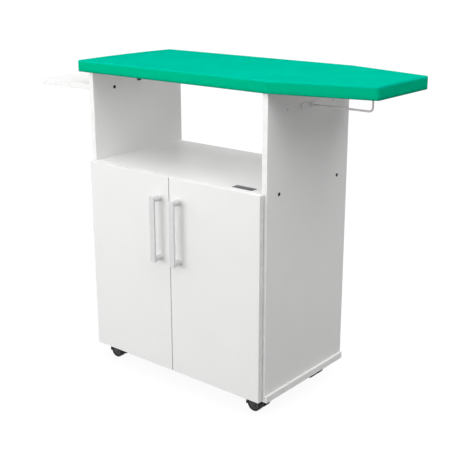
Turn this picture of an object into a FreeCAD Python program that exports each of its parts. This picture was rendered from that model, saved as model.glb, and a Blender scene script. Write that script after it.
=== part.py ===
"""Ironing board cabinet: a two-door base cupboard on casters with an open niche, a padded
ironing top, an iron rest at the left and a wire rail for hangers under the nose.

The model is built with X from the left panel's outer face, Y from the panels' front edges
towards the back and Z from the floor. Each piece is then moved so that the origin lies on the
floor under the centre of the whole cabinet's box. All lengths are in millimetres.
"""
import FreeCAD, Part
import math
import os

Vector = FreeCAD.Vector
X_AXIS, Y_AXIS, Z_AXIS = Vector(1, 0, 0), Vector(0, 1, 0), Vector(0, 0, 1)
SAME_PLACE_SHARE = 1e-6

# Carcass
cabinet_width = 600.0
cabinet_depth = 344.0
panel_thickness = 16.0
panel_height = 760.0
base_thickness = 18.0
base_overhang = 6.0
lower_height = 505.5
board_edge_radius = 1.0
back_thickness = 3.0
back_inset = 10.0
groove_depth = 6.0
groove_play = 0.1
inner_shelf_height = 236.0
inner_shelf_setback = 24.0
inner_shelf_side_play = 1.0
inner_shelf_back_play = 1.5

# Shelf pins
shelf_pin_radius = 2.5
shelf_pin_depth = 9.0
shelf_pin_reach = 8.0
shelf_pin_collar_radius = 4.0
shelf_pin_collar = 0.7
shelf_pin_inset = 37.0

# Carcass screws, with a countersunk head and a hexagon socket
carcass_screw_length = 50.0
carcass_screw_radius = 2.5
carcass_neck_radius = 3.5
carcass_head_radius = 4.8
carcass_head_height = 2.6
carcass_socket_width = 4.0
carcass_socket_depth = 2.2
carcass_screw_inset = 47.5

# Doors
door_thickness = 15.0
door_gap = 1.5
door_inset = 8.0
door_middle_gap = 3.0
door_bottom_lift = 2.0
door_top_drop = 0.5

# Handles
handle_spacing = 160.0
handle_overrun = 8.0
handle_width = 17.0
handle_bar_thickness = 6.0
handle_projection = 30.0
handle_post_radius = 7.8
handle_foot_radius = 8.5
handle_foot_height = 4.0
handle_foot_rim = 1.2
handle_bar_radius = 1.6
handle_from_gap = 34.0
handle_centre_below_top = 139.5
handle_screw_radius = 2.0
handle_screw_grip = 14.0
handle_head_radius = 4.2
handle_head_height = 2.4

# Door hinges: one pin in a pressed cup, on a bent arm
hinge_from_door_end = 92.0
hinge_pin_radius = 1.1
hinge_pin_play = 0.05
hinge_axis_inset = 4.2
hinge_axis_depth = 6.5
hinge_eye_radius = 2.0
hinge_arm_thickness = 1.6
hinge_arm_width = 12.0
hinge_elbow = 8.2
hinge_elbow_radius = 1.4
hinge_arm_tail = 60.0
hinge_rib_height = 3.4
hinge_rib_thickness = 1.2
hinge_rib_start = 16.0
hinge_cup_play = 0.4
hinge_cup_nose_play = 1.2
hinge_cup_wall = 0.6
hinge_cheek = 1.6
hinge_cup_floor = 1.0
hinge_flange_length = 46.0
hinge_flange_thickness = 1.2
hinge_flange_margin = 1.4
hinge_flange_radius = 2.0
cup_fit = 0.1

# Hinge mounting plates
plate_line = 37.0
plate_hole_spacing = 32.0
plate_wing_thickness = 2.4
plate_wing_width = 13.0
plate_wing_length = 46.0
plate_wing_radius = 5.2
plate_bar_start = 22.0
plate_bar_width = 11.0

# Small countersunk wood screws
wood_screw_radius = 1.6
wood_screw_head_radius = 3.1
wood_screw_head_height = 1.8
wood_screw_length = 11.0
plate_screw_length = 12.0
arm_screw_radius = 2.0
arm_screw_head_radius = 3.2
arm_screw_head_height = 1.6
screw_slot_width = 0.9
screw_slot_depth = 0.8
screw_fit = 0.05

# Casters: two wheels under one hood, on a swivel plate
wheel_radius = 20.0
wheel_width = 19.2
wheel_gap = 9.6
wheel_edge_radius = 1.8
wheel_dish_depth = 1.8
wheel_rim_width = 4.4
wheel_hub_radius = 6.5
wheel_dish_slope = 0.8
axle_radius = 3.0
axle_play = 0.05
axle_end_inset = 1.2
axle_press = 0.02
caster_trail = 8.0
hood_clearance = 1.5
hood_wall = 3.0
hood_width = 47.2
hood_rear_drop = 6.0
hood_front_rise = 8.0
web_thickness = 8.8
web_boss_radius = 6.5
hood_boss_radius = 12.0
hood_boss_rise = 4.4
swivel_play = 0.3
swivel_pin_radius = 3.0
swivel_pin_length = 22.0
swivel_bore_extra = 1.0
caster_plate_thickness = 2.0
caster_plate_size = 40.0
caster_plate_corner = 5.0
caster_hole_spacing = 28.0
caster_screw_length = 13.0
caster_inset_side = 46.0
caster_inset_front = 47.5
caster_inset_rear = 52.5

# Ironing top
top_left_overhang = 35.0
top_front_overhang = 7.4
top_straight_length = 635.0
top_taper_length = 249.0
nose_width = 223.0
top_corner_radius = 5.0
nose_corner_radius = 8.0
core_thickness = 18.0
foam_thickness = 8.7
cover_thickness = 2.0
cover_edge_radius = 4.0
cover_play = 0.3
cover_hem_radius = 1.0
top_crown = 1.5

# Brackets that hold the top to the side panels
bracket_leg = 40.0
bracket_width = 14.0
bracket_thickness = 2.0
bracket_bend_radius = 1.5
bracket_hole_near = 14.0
bracket_hole_far = 32.0
bracket_screw_length = 13.0

# Iron rest
rest_length = 230.0
rest_setback = 30.0
rest_thickness = 16.0
rest_below_top = 40.0
rest_screw_inset = 47.0

# Hanger rail
rail_radius = 2.5
rail_reach = 170.5
rail_below_top = 48.0
rail_bend_radius = 10.0
rail_fit = 0.05
flange_thickness = 2.0
flange_width = 14.0
wall_flange_spacing = 62.0
top_flange_spacing = 36.0
flange_collar_radius = 5.0
flange_collar_height = 6.0
rail_screw_length = 13.0

# Cuts run this much past the faces that they open
overrun = 1.0

# Levels and places that follow
hood_radius = wheel_radius + hood_clearance + hood_wall
caster_height = wheel_radius + hood_radius + hood_boss_rise + swivel_play + caster_plate_thickness
base_bottom = caster_height
base_top = base_bottom + base_thickness
niche_shelf_bottom = base_top + lower_height
niche_shelf_top = niche_shelf_bottom + panel_thickness
top_bottom = base_top + panel_height
core_top = top_bottom + core_thickness
foam_top = core_top + foam_thickness
top_top = foam_top + cover_thickness
middle = cabinet_width / 2
mid_depth = cabinet_depth / 2
back_front_face = cabinet_depth - back_inset - back_thickness

door_back = -door_gap
door_front = door_back - door_thickness
door_left = door_inset
door_right = middle - door_middle_gap / 2
door_bottom = base_bottom + door_bottom_lift
door_top = niche_shelf_top - door_top_drop
handle_x = middle - handle_from_gap
handle_z = door_top - handle_centre_below_top
handle_back = door_front - (handle_projection - handle_bar_thickness)
handle_front = door_front - handle_projection

hinge_x = door_left + hinge_axis_inset
hinge_y = door_back - hinge_axis_depth
hinge_heights = {"lower": door_bottom + hinge_from_door_end, "upper": door_top - hinge_from_door_end}

top_left = -top_left_overhang
top_front = -top_front_overhang
top_back = cabinet_depth + top_front_overhang
top_taper_start = top_left + top_straight_length
top_nose = top_taper_start + top_taper_length
nose_front = mid_depth - nose_width / 2
nose_back = mid_depth + nose_width / 2

rest_top = top_bottom - rest_below_top
rail_z = top_bottom - rail_below_top
rail_end = cabinet_width + rail_reach

caster_places = {
    "front_left": (caster_inset_side, caster_inset_front),
    "front_right": (cabinet_width - caster_inset_side, caster_inset_front),
    "rear_left": (caster_inset_side, cabinet_depth - caster_inset_rear),
    "rear_right": (cabinet_width - caster_inset_side, cabinet_depth - caster_inset_rear),
}

# The origin lies under the centre of the box round everything
origin_x = (top_nose - rest_length) / 2
origin_y = (top_back + handle_front) / 2


def box(x0, x1, y0, y1, z0, z1):
    """A box between two opposite corners."""
    return Part.makeBox(x1 - x0, y1 - y0, z1 - z0, Vector(x0, y0, z0))


def rod(radius, start, end):
    """A round rod from one point to another."""
    return Part.makeCylinder(radius, start.distanceToPoint(end), start, end - start)


def centred_rod(radius, centre, axis, half):
    """A round rod that reaches as far to both sides of its centre."""
    return rod(radius, centre - axis * half, centre + axis * half)


def line(start, end):
    """A straight edge."""
    return Part.LineSegment(start, end).toShape()


def arc(start, middle_point, end):
    """A round edge through three points."""
    return Part.Arc(start, middle_point, end).toShape()


def edges_along(shape, axis):
    """The straight edges that run along an axis."""
    found = []
    for edge in shape.Edges:
        run = edge.Vertexes[-1].Point - edge.Vertexes[0].Point
        if run.Length > 0 and abs(run.dot(axis)) > (1 - SAME_PLACE_SHARE) * run.Length:
            found.append(edge)
    return found


def edges_off(shape, axis, value):
    """The edges that don't lie wholly in the plane at this place along an axis."""
    limit = SAME_PLACE_SHARE * cabinet_width
    return [e for e in shape.Edges if any(abs(v.Point.dot(axis) - value) > limit for v in e.Vertexes)]


def rounded_box(x0, x1, y0, y1, z0, z1, radius, axis):
    """A box whose four edges along one axis are rounded."""
    block = box(x0, x1, y0, y1, z0, z1)
    return block.makeFillet(radius, edges_along(block, axis))


def revolved(outline, axis):
    """The solid that a closed outline of (radius, height) points sweeps about an axis."""
    flat = [Vector(radius, 0, height) for radius, height in outline]
    solid = Part.Face(Part.makePolygon(flat + flat[:1])).revolve(Vector(0, 0, 0), Z_AXIS, 360)
    return turned(solid, axis)


def turned(solid, axis):
    """A solid made along +Z, turned to point along another axis."""
    copy = solid.copy()
    copy.Placement = FreeCAD.Placement(Vector(0, 0, 0), FreeCAD.Rotation(Z_AXIS, axis))
    return copy


def moved(solid, x, y, z):
    """A copy of a solid, moved."""
    copy = solid.copy()
    copy.translate(Vector(x, y, z))
    return copy


def mirrored(solid):
    """The right-hand copy of a left-hand piece."""
    return solid.mirror(Vector(middle, 0, 0), X_AXIS)


def one(shape):
    """The single solid of a cut or a join."""
    return shape.removeSplitter().Solids[0]


def group(solids):
    """Separate solids that share a node."""
    return Part.makeCompound([s for solid in solids for s in solid.Solids])


def carcass_screw(grow):
    """A carcass screw that points along -Z, with its head flush at zero. A hole is a grown one."""
    head = carcass_head_radius + grow
    neck = carcass_neck_radius + grow
    shank = carcass_screw_radius + grow
    neck_end = -panel_thickness - grow
    tip = -carcass_screw_length - grow
    outline = [(0, 0), (head, 0), (neck, -carcass_head_height), (neck, neck_end),
               (shank, neck_end - (neck - shank)), (shank, tip + shank), (0, tip)]
    return revolved(outline, Z_AXIS)


def hexagon(width, depth):
    """A hexagonal socket that opens at zero and goes down."""
    corner = width / math.sqrt(3)
    points = [Vector(corner * math.cos(math.radians(60 * k)), corner * math.sin(math.radians(60 * k)), 0)
              for k in range(7)]
    return Part.Face(Part.makePolygon(points)).extrude(Vector(0, 0, -depth))


def flat_screw(radius, head_radius, head_height, length, grow):
    """A countersunk screw that points along -Z, with its head flush at zero and a slot in it."""
    outline = [(0, 0), (head_radius + grow, 0), (radius + grow, -head_height),
               (radius + grow, radius - length), (0, -length - grow)]
    screw = revolved(outline, Z_AXIS)
    if grow:
        return screw
    slot = box(-head_radius, head_radius, -screw_slot_width / 2, screw_slot_width / 2,
               -screw_slot_depth, overrun)
    return one(screw.cut(slot))


def wood_screw(grow, length=wood_screw_length):
    """A small wood screw, or the hole that it makes when grown."""
    return flat_screw(wood_screw_radius, wood_screw_head_radius, wood_screw_head_height, length, grow)


def carcass_screw_sites():
    """The head point and outward direction of each carcass screw."""
    shelf_z = niche_shelf_bottom + panel_thickness / 2
    sites = []
    for y in (carcass_screw_inset, cabinet_depth - carcass_screw_inset):
        sites.append((Vector(0, y, shelf_z), -X_AXIS))
        sites.append((Vector(cabinet_width, y, shelf_z), X_AXIS))
        sites.append((Vector(panel_thickness / 2, y, base_bottom), -Z_AXIS))
        sites.append((Vector(cabinet_width - panel_thickness / 2, y, base_bottom), -Z_AXIS))
    return sites


def rest_screw_sites():
    """The head point and outward direction of the screws that hold the iron rest."""
    z = rest_top - rest_thickness / 2
    places = (rest_setback + rest_screw_inset, cabinet_depth - rest_setback - rest_screw_inset)
    return [(Vector(panel_thickness, y, z), X_AXIS) for y in places]


def at_sites(tool, sites):
    """Copies of a tool made along +Z, turned and moved to each site."""
    return [moved(turned(tool, axis), *point) for point, axis in sites]


def cut_all(solid, tools):
    """A solid with all the tools cut from it."""
    return one(solid.cut(Part.makeCompound(tools)))


def shelf_pin_sites():
    """Where the shelf pins enter the side panels, at the left and then at the right."""
    z = base_top + inner_shelf_height - shelf_pin_radius
    front = inner_shelf_setback + shelf_pin_inset
    back = back_front_face - shelf_pin_inset
    left = [Vector(panel_thickness, y, z) for y in (front, back)]
    right = [Vector(cabinet_width - panel_thickness, y, z) for y in (front, back)]
    return left, right


def back_space(grow):
    """The back panel, or the grooves that it slides in when grown."""
    reach = groove_depth if grow else groove_depth - groove_play
    return box(panel_thickness - reach, cabinet_width - panel_thickness + reach,
               back_front_face - grow, back_front_face + back_thickness + grow,
               base_top - reach, niche_shelf_bottom + reach)


def left_side_panel():
    """The left side panel with its grooves, hinge plate holes and screw holes."""
    panel = box(0, panel_thickness, 0, cabinet_depth, base_top, top_bottom)
    panel = panel.makeFillet(board_edge_radius, edges_along(panel, Z_AXIS))
    pins = [rod(shelf_pin_radius + screw_fit, p, p - X_AXIS * (shelf_pin_depth + screw_fit))
            for p in shelf_pin_sites()[0]]
    tools = [back_space(groove_play)] + pins + plate_screw_holes()
    tools += at_sites(carcass_screw(screw_fit), carcass_screw_sites())
    tools += at_sites(carcass_screw(screw_fit), rest_screw_sites())
    tools += bracket_screws(screw_fit)
    return cut_all(panel, tools)


def right_side_panel():
    """The right side panel, which also takes the rail's flange and two spare holes for the rest."""
    panel = box(cabinet_width - panel_thickness, cabinet_width, 0, cabinet_depth, base_top, top_bottom)
    panel = panel.makeFillet(board_edge_radius, edges_along(panel, Z_AXIS))
    pins = [rod(shelf_pin_radius + screw_fit, p, p + X_AXIS * (shelf_pin_depth + screw_fit))
            for p in shelf_pin_sites()[1]]
    spare = [rod(carcass_screw_radius, Vector(cabinet_width - shelf_pin_depth, point.y, point.z),
                 Vector(cabinet_width, point.y, point.z)) for point, axis in rest_screw_sites()]
    tools = [back_space(groove_play)] + pins + spare + [mirrored(t) for t in plate_screw_holes()]
    tools += at_sites(carcass_screw(screw_fit), carcass_screw_sites())
    tools += bracket_screws(screw_fit) + rail_screws(screw_fit)
    return cut_all(panel, tools)


def base_panel():
    """The base, which stands out a little beside the side panels."""
    panel = box(-base_overhang, cabinet_width + base_overhang, 0, cabinet_depth, base_bottom, base_top)
    panel = panel.makeFillet(board_edge_radius, panel.Edges)
    tools = [back_space(groove_play)] + caster_screws(screw_fit)
    tools += at_sites(carcass_screw(screw_fit), carcass_screw_sites())
    return cut_all(panel, tools)


def niche_shelf():
    """The fixed shelf that is the niche's floor and the lower compartment's ceiling."""
    shelf = box(panel_thickness, cabinet_width - panel_thickness, 0, cabinet_depth,
                niche_shelf_bottom, niche_shelf_top)
    shelf = shelf.makeFillet(board_edge_radius, edges_along(shelf, X_AXIS))
    tools = [back_space(groove_play)] + at_sites(carcass_screw(screw_fit), carcass_screw_sites())
    return cut_all(shelf, tools)


def inner_shelf():
    """The loose shelf behind the doors."""
    x0 = panel_thickness + inner_shelf_side_play
    z0 = base_top + inner_shelf_height
    shelf = box(x0, cabinet_width - x0, inner_shelf_setback, back_front_face - inner_shelf_back_play,
                z0, z0 + panel_thickness)
    return shelf.makeFillet(board_edge_radius, edges_along(shelf, X_AXIS))


def shelf_pins():
    """Four round pins with a collar, in the side panels' holes."""
    pins = []
    for points, way in zip(shelf_pin_sites(), (X_AXIS, -X_AXIS)):
        for p in points:
            shank = rod(shelf_pin_radius, p - way * shelf_pin_depth, p + way * shelf_pin_reach)
            collar = rod(shelf_pin_collar_radius, p, p + way * shelf_pin_collar)
            pins.append(one(shank.fuse(collar)))
    return group(pins)


def back_panel():
    """The thin back of the lower compartment, in its grooves."""
    return back_space(0)


def carcass_screws():
    """The screws that join the niche shelf and the base to the side panels."""
    screw = one(carcass_screw(0).cut(hexagon(carcass_socket_width, carcass_socket_depth)))
    return group(at_sites(screw, carcass_screw_sites()))


def iron_rest_screws():
    """Two screws through the left panel into the end of the iron rest."""
    screw = one(carcass_screw(0).cut(hexagon(carcass_socket_width, carcass_socket_depth)))
    return group(at_sites(screw, rest_screw_sites()))


def iron_rest_shelf():
    """The shelf for the hot iron, which stands out from the left panel."""
    shelf = box(-rest_length, 0, rest_setback, cabinet_depth - rest_setback,
                rest_top - rest_thickness, rest_top)
    shelf = shelf.makeFillet(board_edge_radius, edges_off(shelf, X_AXIS, 0))
    return cut_all(shelf, at_sites(carcass_screw(screw_fit), rest_screw_sites()))


def top_outline(inset, z):
    """The top's outline at a height, as lines with round corners, drawn in by an inset."""
    slope = math.atan2(nose_front - top_front, top_taper_length)
    drawn = inset * math.tan(slope / 2)
    nose_drawn = inset * (1 - math.sin(slope)) / math.cos(slope)
    corners = [
        (top_left + inset, top_front + inset, top_corner_radius),
        (top_taper_start - drawn, top_front + inset, None),
        (top_nose - inset, nose_front + nose_drawn, nose_corner_radius),
        (top_nose - inset, nose_back - nose_drawn, nose_corner_radius),
        (top_taper_start - drawn, top_back - inset, None),
        (top_left + inset, top_back - inset, top_corner_radius),
    ]
    points = [Vector(x, y, z) for x, y, radius in corners]
    starts, ends, rounds = [], [], []
    for k, (x, y, radius) in enumerate(corners):
        here = points[k]
        to_before = (points[k - 1] - here).normalize()
        to_after = (points[(k + 1) % len(points)] - here).normalize()
        reach = 0
        if radius:
            drawn_radius = radius - inset
            half = to_before.getAngle(to_after) / 2
            reach = drawn_radius / math.tan(half)
            bisector = (to_before + to_after).normalize()
            middle_point = here + bisector * (drawn_radius / math.sin(half) - drawn_radius)
            rounds.append(arc(here + to_before * reach, middle_point, here + to_after * reach))
        starts.append(here + to_before * reach)
        ends.append(here + to_after * reach)
    sides = [line(ends[k - 1], starts[k]) for k in range(len(corners))]
    return Part.Wire(Part.__sortEdges__(sides + rounds))


def crowned(inset, bottom, edge_height):
    """A block with the top's outline, whose upper face is crowned along its length."""
    half = (top_back - top_front) / 2
    radius = (half * half + top_crown * top_crown) / (2 * top_crown)
    face = Part.Face(top_outline(inset, bottom))
    block = face.extrude(Vector(0, 0, edge_height + top_crown - bottom))
    centre = Vector(top_left - overrun, mid_depth, edge_height + top_crown - radius)
    round_top = Part.makeCylinder(radius, top_nose - top_left + 2 * overrun, centre, X_AXIS)
    return one(block.common(round_top))


def upper_edges(solid):
    """The edges round a crowned block's upper face."""
    limit = (core_top + foam_top) / 2
    return [e for e in solid.Edges if all(v.Point.z > limit for v in e.Vertexes)]


def board_core():
    """The stiff board inside the padded top."""
    inset = cover_thickness + cover_play
    core = Part.Face(top_outline(inset, top_bottom)).extrude(Vector(0, 0, core_thickness))
    return cut_all(core, bracket_screws(screw_fit) + rail_screws(screw_fit))


def foam_pad():
    """The padding between the board and its cover."""
    inset = cover_thickness + cover_play
    pad = crowned(inset, core_top, foam_top - cover_play)
    return one(pad.makeFillet(cover_edge_radius - cover_thickness, upper_edges(pad)))


def ironing_cover():
    """The fabric cover, crowned over the foam and drawn down round the board's edge."""
    outer = crowned(0, top_bottom, top_top)
    outer = one(outer.makeFillet(cover_edge_radius, upper_edges(outer)))
    lower = [e for e in outer.Edges if all(v.Point.z < top_bottom + cover_hem_radius for v in e.Vertexes)]
    outer = one(outer.makeFillet(cover_hem_radius, lower))
    inner = crowned(cover_thickness, top_bottom - overrun, foam_top)
    inner = one(inner.makeFillet(cover_edge_radius - cover_thickness, upper_edges(inner)))
    return one(outer.cut(inner))


def bracket_sites():
    """The head point and outward direction of the brackets' screws, in both legs of each."""
    sites = []
    for near in (bracket_hole_near, bracket_hole_far):
        for wall, way in ((panel_thickness, 1), (cabinet_width - panel_thickness, -1)):
            leg_face, foot_face = wall + way * bracket_thickness, top_bottom - bracket_thickness
            sites.append((Vector(leg_face, mid_depth, top_bottom - near), X_AXIS * way))
            sites.append((Vector(wall + way * near, mid_depth, foot_face), -Z_AXIS))
    return sites


def bracket_screws(grow):
    """The brackets' screws, or their holes when grown."""
    return at_sites(wood_screw(grow, bracket_screw_length), bracket_sites())


def board_brackets():
    """Two bent steel brackets between the side panels and the top."""
    y0, y1 = mid_depth - bracket_width / 2, mid_depth + bracket_width / 2
    wall = panel_thickness
    leg = box(wall, wall + bracket_thickness, y0, y1, top_bottom - bracket_leg, top_bottom)
    foot = box(wall, wall + bracket_leg, y0, y1, top_bottom - bracket_thickness, top_bottom)
    angle = one(leg.fuse(foot))
    corner = Vector(wall + bracket_thickness, y0, top_bottom - bracket_thickness)
    inner = [e for e in edges_along(angle, Y_AXIS)
             if corner.distanceToLine(e.Vertexes[0].Point, Y_AXIS) < bracket_thickness * SAME_PLACE_SHARE]
    angle = one(angle.makeFillet(bracket_bend_radius, inner))
    pair = [angle, mirrored(angle)]
    holes = bracket_screws(screw_fit)
    return group([cut_all(part, holes) for part in pair])


def rail_path():
    """The rail's centre line: out from the right panel, then up to the top."""
    start = Vector(cabinet_width + flange_thickness, mid_depth, rail_z)
    corner = Vector(rail_end, mid_depth, rail_z)
    end = Vector(rail_end, mid_depth, top_bottom - flange_thickness)
    bend_start, bend_end = corner - X_AXIS * rail_bend_radius, corner + Z_AXIS * rail_bend_radius
    pull = rail_bend_radius * (1 - math.cos(math.radians(45)))
    bend_middle = corner + (Z_AXIS - X_AXIS) * pull
    edges = [line(start, bend_start), arc(bend_start, bend_middle, bend_end), line(bend_end, end)]
    return Part.Wire(edges), start


def hanger_rail():
    """The bent wire that hangers hook over."""
    path, start = rail_path()
    section = Part.Wire(Part.makeCircle(rail_radius, start, X_AXIS))
    return path.makePipeShell([section], True, False).Solids[0]


def flange(spacing):
    """A screw flange with a collar for the rail, made flat at zero and facing +Z."""
    half_length, half_width = spacing / 2, flange_width / 2
    bar = box(-half_width, half_width, -half_length, half_length, 0, flange_thickness)
    for y in (-half_length, half_length):
        bar = bar.fuse(Part.makeCylinder(half_width, flange_thickness, Vector(0, y, 0)))
    collar = Part.makeCylinder(flange_collar_radius, flange_thickness + flange_collar_height)
    bore = Part.makeCylinder(rail_radius + rail_fit, flange_collar_height + overrun,
                             Z_AXIS * flange_thickness)
    return one(one(bar.fuse(collar)).cut(bore))


def wall_flange_place(solid):
    """A piece made facing +Z, turned to face out from the right panel at the rail."""
    return moved(turned(solid, X_AXIS), cabinet_width, mid_depth, rail_z)


def top_flange_place(solid):
    """A piece made facing +Z, turned to face down from the top at the rail's end."""
    return moved(turned(solid, -Z_AXIS), rail_end, mid_depth, top_bottom)


def rail_screws(grow):
    """The screws of both flanges, or their holes when grown."""
    screw = moved(wood_screw(grow, rail_screw_length), 0, 0, flange_thickness)
    found = []
    for side in (-1, 1):
        found.append(wall_flange_place(moved(screw, 0, side * wall_flange_spacing / 2, 0)))
        found.append(top_flange_place(moved(screw, 0, side * top_flange_spacing / 2, 0)))
    return found


def rail_wall_flange():
    """The rail's flange on the right panel."""
    return cut_all(wall_flange_place(flange(wall_flange_spacing)), rail_screws(screw_fit))


def rail_board_flange():
    """The rail's flange under the top."""
    return cut_all(top_flange_place(flange(top_flange_spacing)), rail_screws(screw_fit))


def at_hinges(solid):
    """A hinge piece made about its pin, at both hinges of the left door."""
    return [moved(solid, hinge_x, hinge_y, z) for z in hinge_heights.values()]


def cup_inside():
    """The limits of the cup's hollow about the pin: x0, x1, floor and half height."""
    return (-hinge_eye_radius - hinge_cup_play, hinge_elbow + hinge_arm_thickness + hinge_cup_nose_play,
            -hinge_eye_radius - hinge_cup_floor, hinge_arm_width / 2 + hinge_cup_play)


def cup_body(grow):
    """The cup's outer form: a pressed pot with a flange that lies flush in the door's back."""
    x0, x1, floor, half = cup_inside()
    wall = hinge_cup_wall + grow
    pot = box(x0 - wall, x1 + wall, floor - wall, hinge_axis_depth + grow,
              -half - hinge_cheek - grow, half + hinge_cheek + grow)
    flange_half = hinge_flange_length / 2 + grow
    plate = rounded_box(x0 - wall, x1 + hinge_flange_margin + grow,
                        hinge_axis_depth - hinge_flange_thickness - grow, hinge_axis_depth + grow,
                        -flange_half, flange_half, hinge_flange_radius, Y_AXIS)
    return one(pot.fuse(plate))


def cup_screw_sites():
    """The head points of a cup's two screws, about the pin."""
    x0, x1, floor, half = cup_inside()
    z = (half + hinge_cheek + hinge_flange_length / 2) / 2
    return [(Vector((x0 + x1) / 2, hinge_axis_depth, side * z), Y_AXIS) for side in (-1, 1)]


def hinge_cup():
    """The pressed cup, open towards the cabinet, with the pin's holes in its cheeks."""
    x0, x1, floor, half = cup_inside()
    hollow = box(x0, x1, floor, hinge_axis_depth + overrun, -half, half)
    pin_hole = centred_rod(hinge_pin_radius + axle_press, Vector(0, 0, 0), Z_AXIS,
                           half + hinge_cheek + overrun)
    return cut_all(cup_body(0), [hollow, pin_hole] + at_sites(wood_screw(screw_fit), cup_screw_sites()))


def hinge_pin():
    """The pin, held in the cup's cheeks and running in the arm's eye."""
    return centred_rod(hinge_pin_radius, Vector(0, 0, 0), Z_AXIS, cup_inside()[3] + hinge_cheek)


def hinge_arm():
    """The bent arm: an eye on the pin, an elbow round the door's edge and a ribbed tail."""
    half = hinge_arm_width / 2
    low, tail = -hinge_eye_radius, hinge_arm_tail - hinge_y
    inner, outer = hinge_elbow, hinge_elbow + hinge_arm_thickness
    outline = [Vector(0, low, -half), Vector(outer, low, -half), Vector(outer, tail, -half),
               Vector(inner, tail, -half), Vector(inner, low + hinge_arm_thickness, -half),
               Vector(0, low + hinge_arm_thickness, -half)]
    strip = Part.Face(Part.makePolygon(outline + outline[:1])).extrude(Vector(0, 0, hinge_arm_width))
    limit = hinge_arm_thickness * SAME_PLACE_SHARE
    elbow = [e for e in edges_along(strip, Z_AXIS)
             if outline[1].distanceToLine(e.Vertexes[0].Point, Z_AXIS) < limit]
    strip = strip.makeFillet(hinge_elbow_radius, elbow)
    arm = strip.fuse(rod(hinge_eye_radius, Vector(0, 0, -half), Vector(0, 0, half)))
    for z0, z1 in ((-half, hinge_rib_thickness - half), (half - hinge_rib_thickness, half)):
        arm = arm.fuse(box(inner, outer + hinge_rib_height, hinge_rib_start, tail, z0, z1))
    bore = centred_rod(hinge_pin_radius + hinge_pin_play, Vector(0, 0, 0), Z_AXIS, half + overrun)
    return cut_all(one(arm), [bore, arm_screw(screw_fit)])


def arm_screw_place():
    """Where the arm's fixing screw stands, about the pin."""
    y = (plate_line + plate_wing_width / 2 + hinge_arm_tail) / 2 - hinge_y
    return Vector(hinge_elbow + hinge_arm_thickness, y, 0)


def arm_screw(grow):
    """The screw that holds the arm on its plate, or its hole when grown."""
    length = hinge_x + hinge_elbow + hinge_arm_thickness - panel_thickness
    screw = flat_screw(arm_screw_radius, arm_screw_head_radius, arm_screw_head_height, length, grow)
    return moved(turned(screw, X_AXIS), *arm_screw_place())


def plate_screw_sites():
    """The head points of a mounting plate's two screws, about the pin."""
    x = panel_thickness + plate_wing_thickness - hinge_x
    half = plate_hole_spacing / 2
    return [(Vector(x, plate_line - hinge_y, side * half), X_AXIS) for side in (-1, 1)]


def plate_screw_holes():
    """The holes of all the left panel's plate screws."""
    holes = at_sites(wood_screw(screw_fit, plate_screw_length), plate_screw_sites())
    return [placed for hole in holes for placed in at_hinges(hole)]


def hinge_plate():
    """A cross-shaped mounting plate: wings for the wood screws, a raised bar for the arm."""
    x0 = panel_thickness - hinge_x
    y = plate_line - hinge_y
    wing_half, half = plate_wing_width / 2, plate_wing_length / 2
    wings = rounded_box(x0, x0 + plate_wing_thickness, y - wing_half, y + wing_half, -half, half,
                        plate_wing_radius, X_AXIS)
    bar = box(x0, hinge_elbow, plate_bar_start - hinge_y,
              hinge_arm_tail - hinge_y, -plate_bar_width / 2, plate_bar_width / 2)
    holes = at_sites(wood_screw(screw_fit, plate_screw_length), plate_screw_sites())
    return cut_all(one(wings.fuse(bar)), holes + [arm_screw(screw_fit)])


def hinge_plate_screws():
    """All the screws of the four mounting plates and arms."""
    screws = at_sites(wood_screw(0, plate_screw_length), plate_screw_sites()) + [arm_screw(0)]
    left = [placed for screw in screws for placed in at_hinges(screw)]
    return group(left + [mirrored(s) for s in left])


def cup_screws():
    """The screws of the left door's two cups."""
    screws = at_sites(wood_screw(0), cup_screw_sites())
    return group([placed for screw in screws for placed in at_hinges(screw)])


def handle_screw(grow):
    """A machine screw from the door's inner face, along -Y, with a domed head. Grown, it's a hole."""
    radius = handle_screw_radius + grow
    shank = rod(radius, Vector(0, 0, 0), Vector(0, -door_thickness - handle_screw_grip - grow, 0))
    if grow:
        return shank
    rise = handle_head_height
    dome_radius = (handle_head_radius ** 2 + rise ** 2) / (2 * rise)
    dome = Part.makeSphere(dome_radius, Vector(0, rise - dome_radius, 0))
    disc = rod(handle_head_radius, Vector(0, 0, 0), Vector(0, rise, 0))
    slot = box(-handle_head_radius, handle_head_radius, rise - screw_slot_depth, rise + overrun,
               -screw_slot_width / 2, screw_slot_width / 2)
    return one(one(shank.fuse(disc.common(dome))).cut(slot))


def at_handle_posts(solid):
    """A piece made about a handle post's foot on the door's inner face, at both posts."""
    return [moved(solid, handle_x, door_back, handle_z + side * handle_spacing / 2) for side in (-1, 1)]


def handle():
    """A bridge handle in one piece: a flat bar on two round posts with flared feet."""
    half = handle_spacing / 2 + handle_overrun
    bar = box(-handle_width / 2, handle_width / 2, handle_front, handle_back, -half, half)
    bar = bar.makeFillet(handle_bar_radius, bar.Edges)
    solid = moved(bar, handle_x, 0, handle_z)
    post_length = handle_projection - handle_bar_thickness / 2
    foot, radius = handle_foot_radius, handle_post_radius
    outline = [(0, 0), (foot, 0), (foot, handle_foot_rim), (radius, handle_foot_height),
               (radius, post_length), (0, post_length)]
    post = revolved(outline, -Y_AXIS)
    for side in (-1, 1):
        solid = solid.fuse(moved(post, handle_x, door_front, handle_z + side * handle_spacing / 2))
    return cut_all(one(solid), at_handle_posts(handle_screw(screw_fit)))


def door():
    """The left door with its hinge cups' pockets and its screw holes."""
    panel = box(door_left, door_right, door_front, door_back, door_bottom, door_top)
    panel = panel.makeFillet(board_edge_radius, panel.Edges)
    tools = at_hinges(cup_body(cup_fit))
    for hole in at_sites(wood_screw(screw_fit), cup_screw_sites()):
        tools += at_hinges(hole)
    return cut_all(panel, tools + at_handle_posts(handle_screw(screw_fit)))


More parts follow.
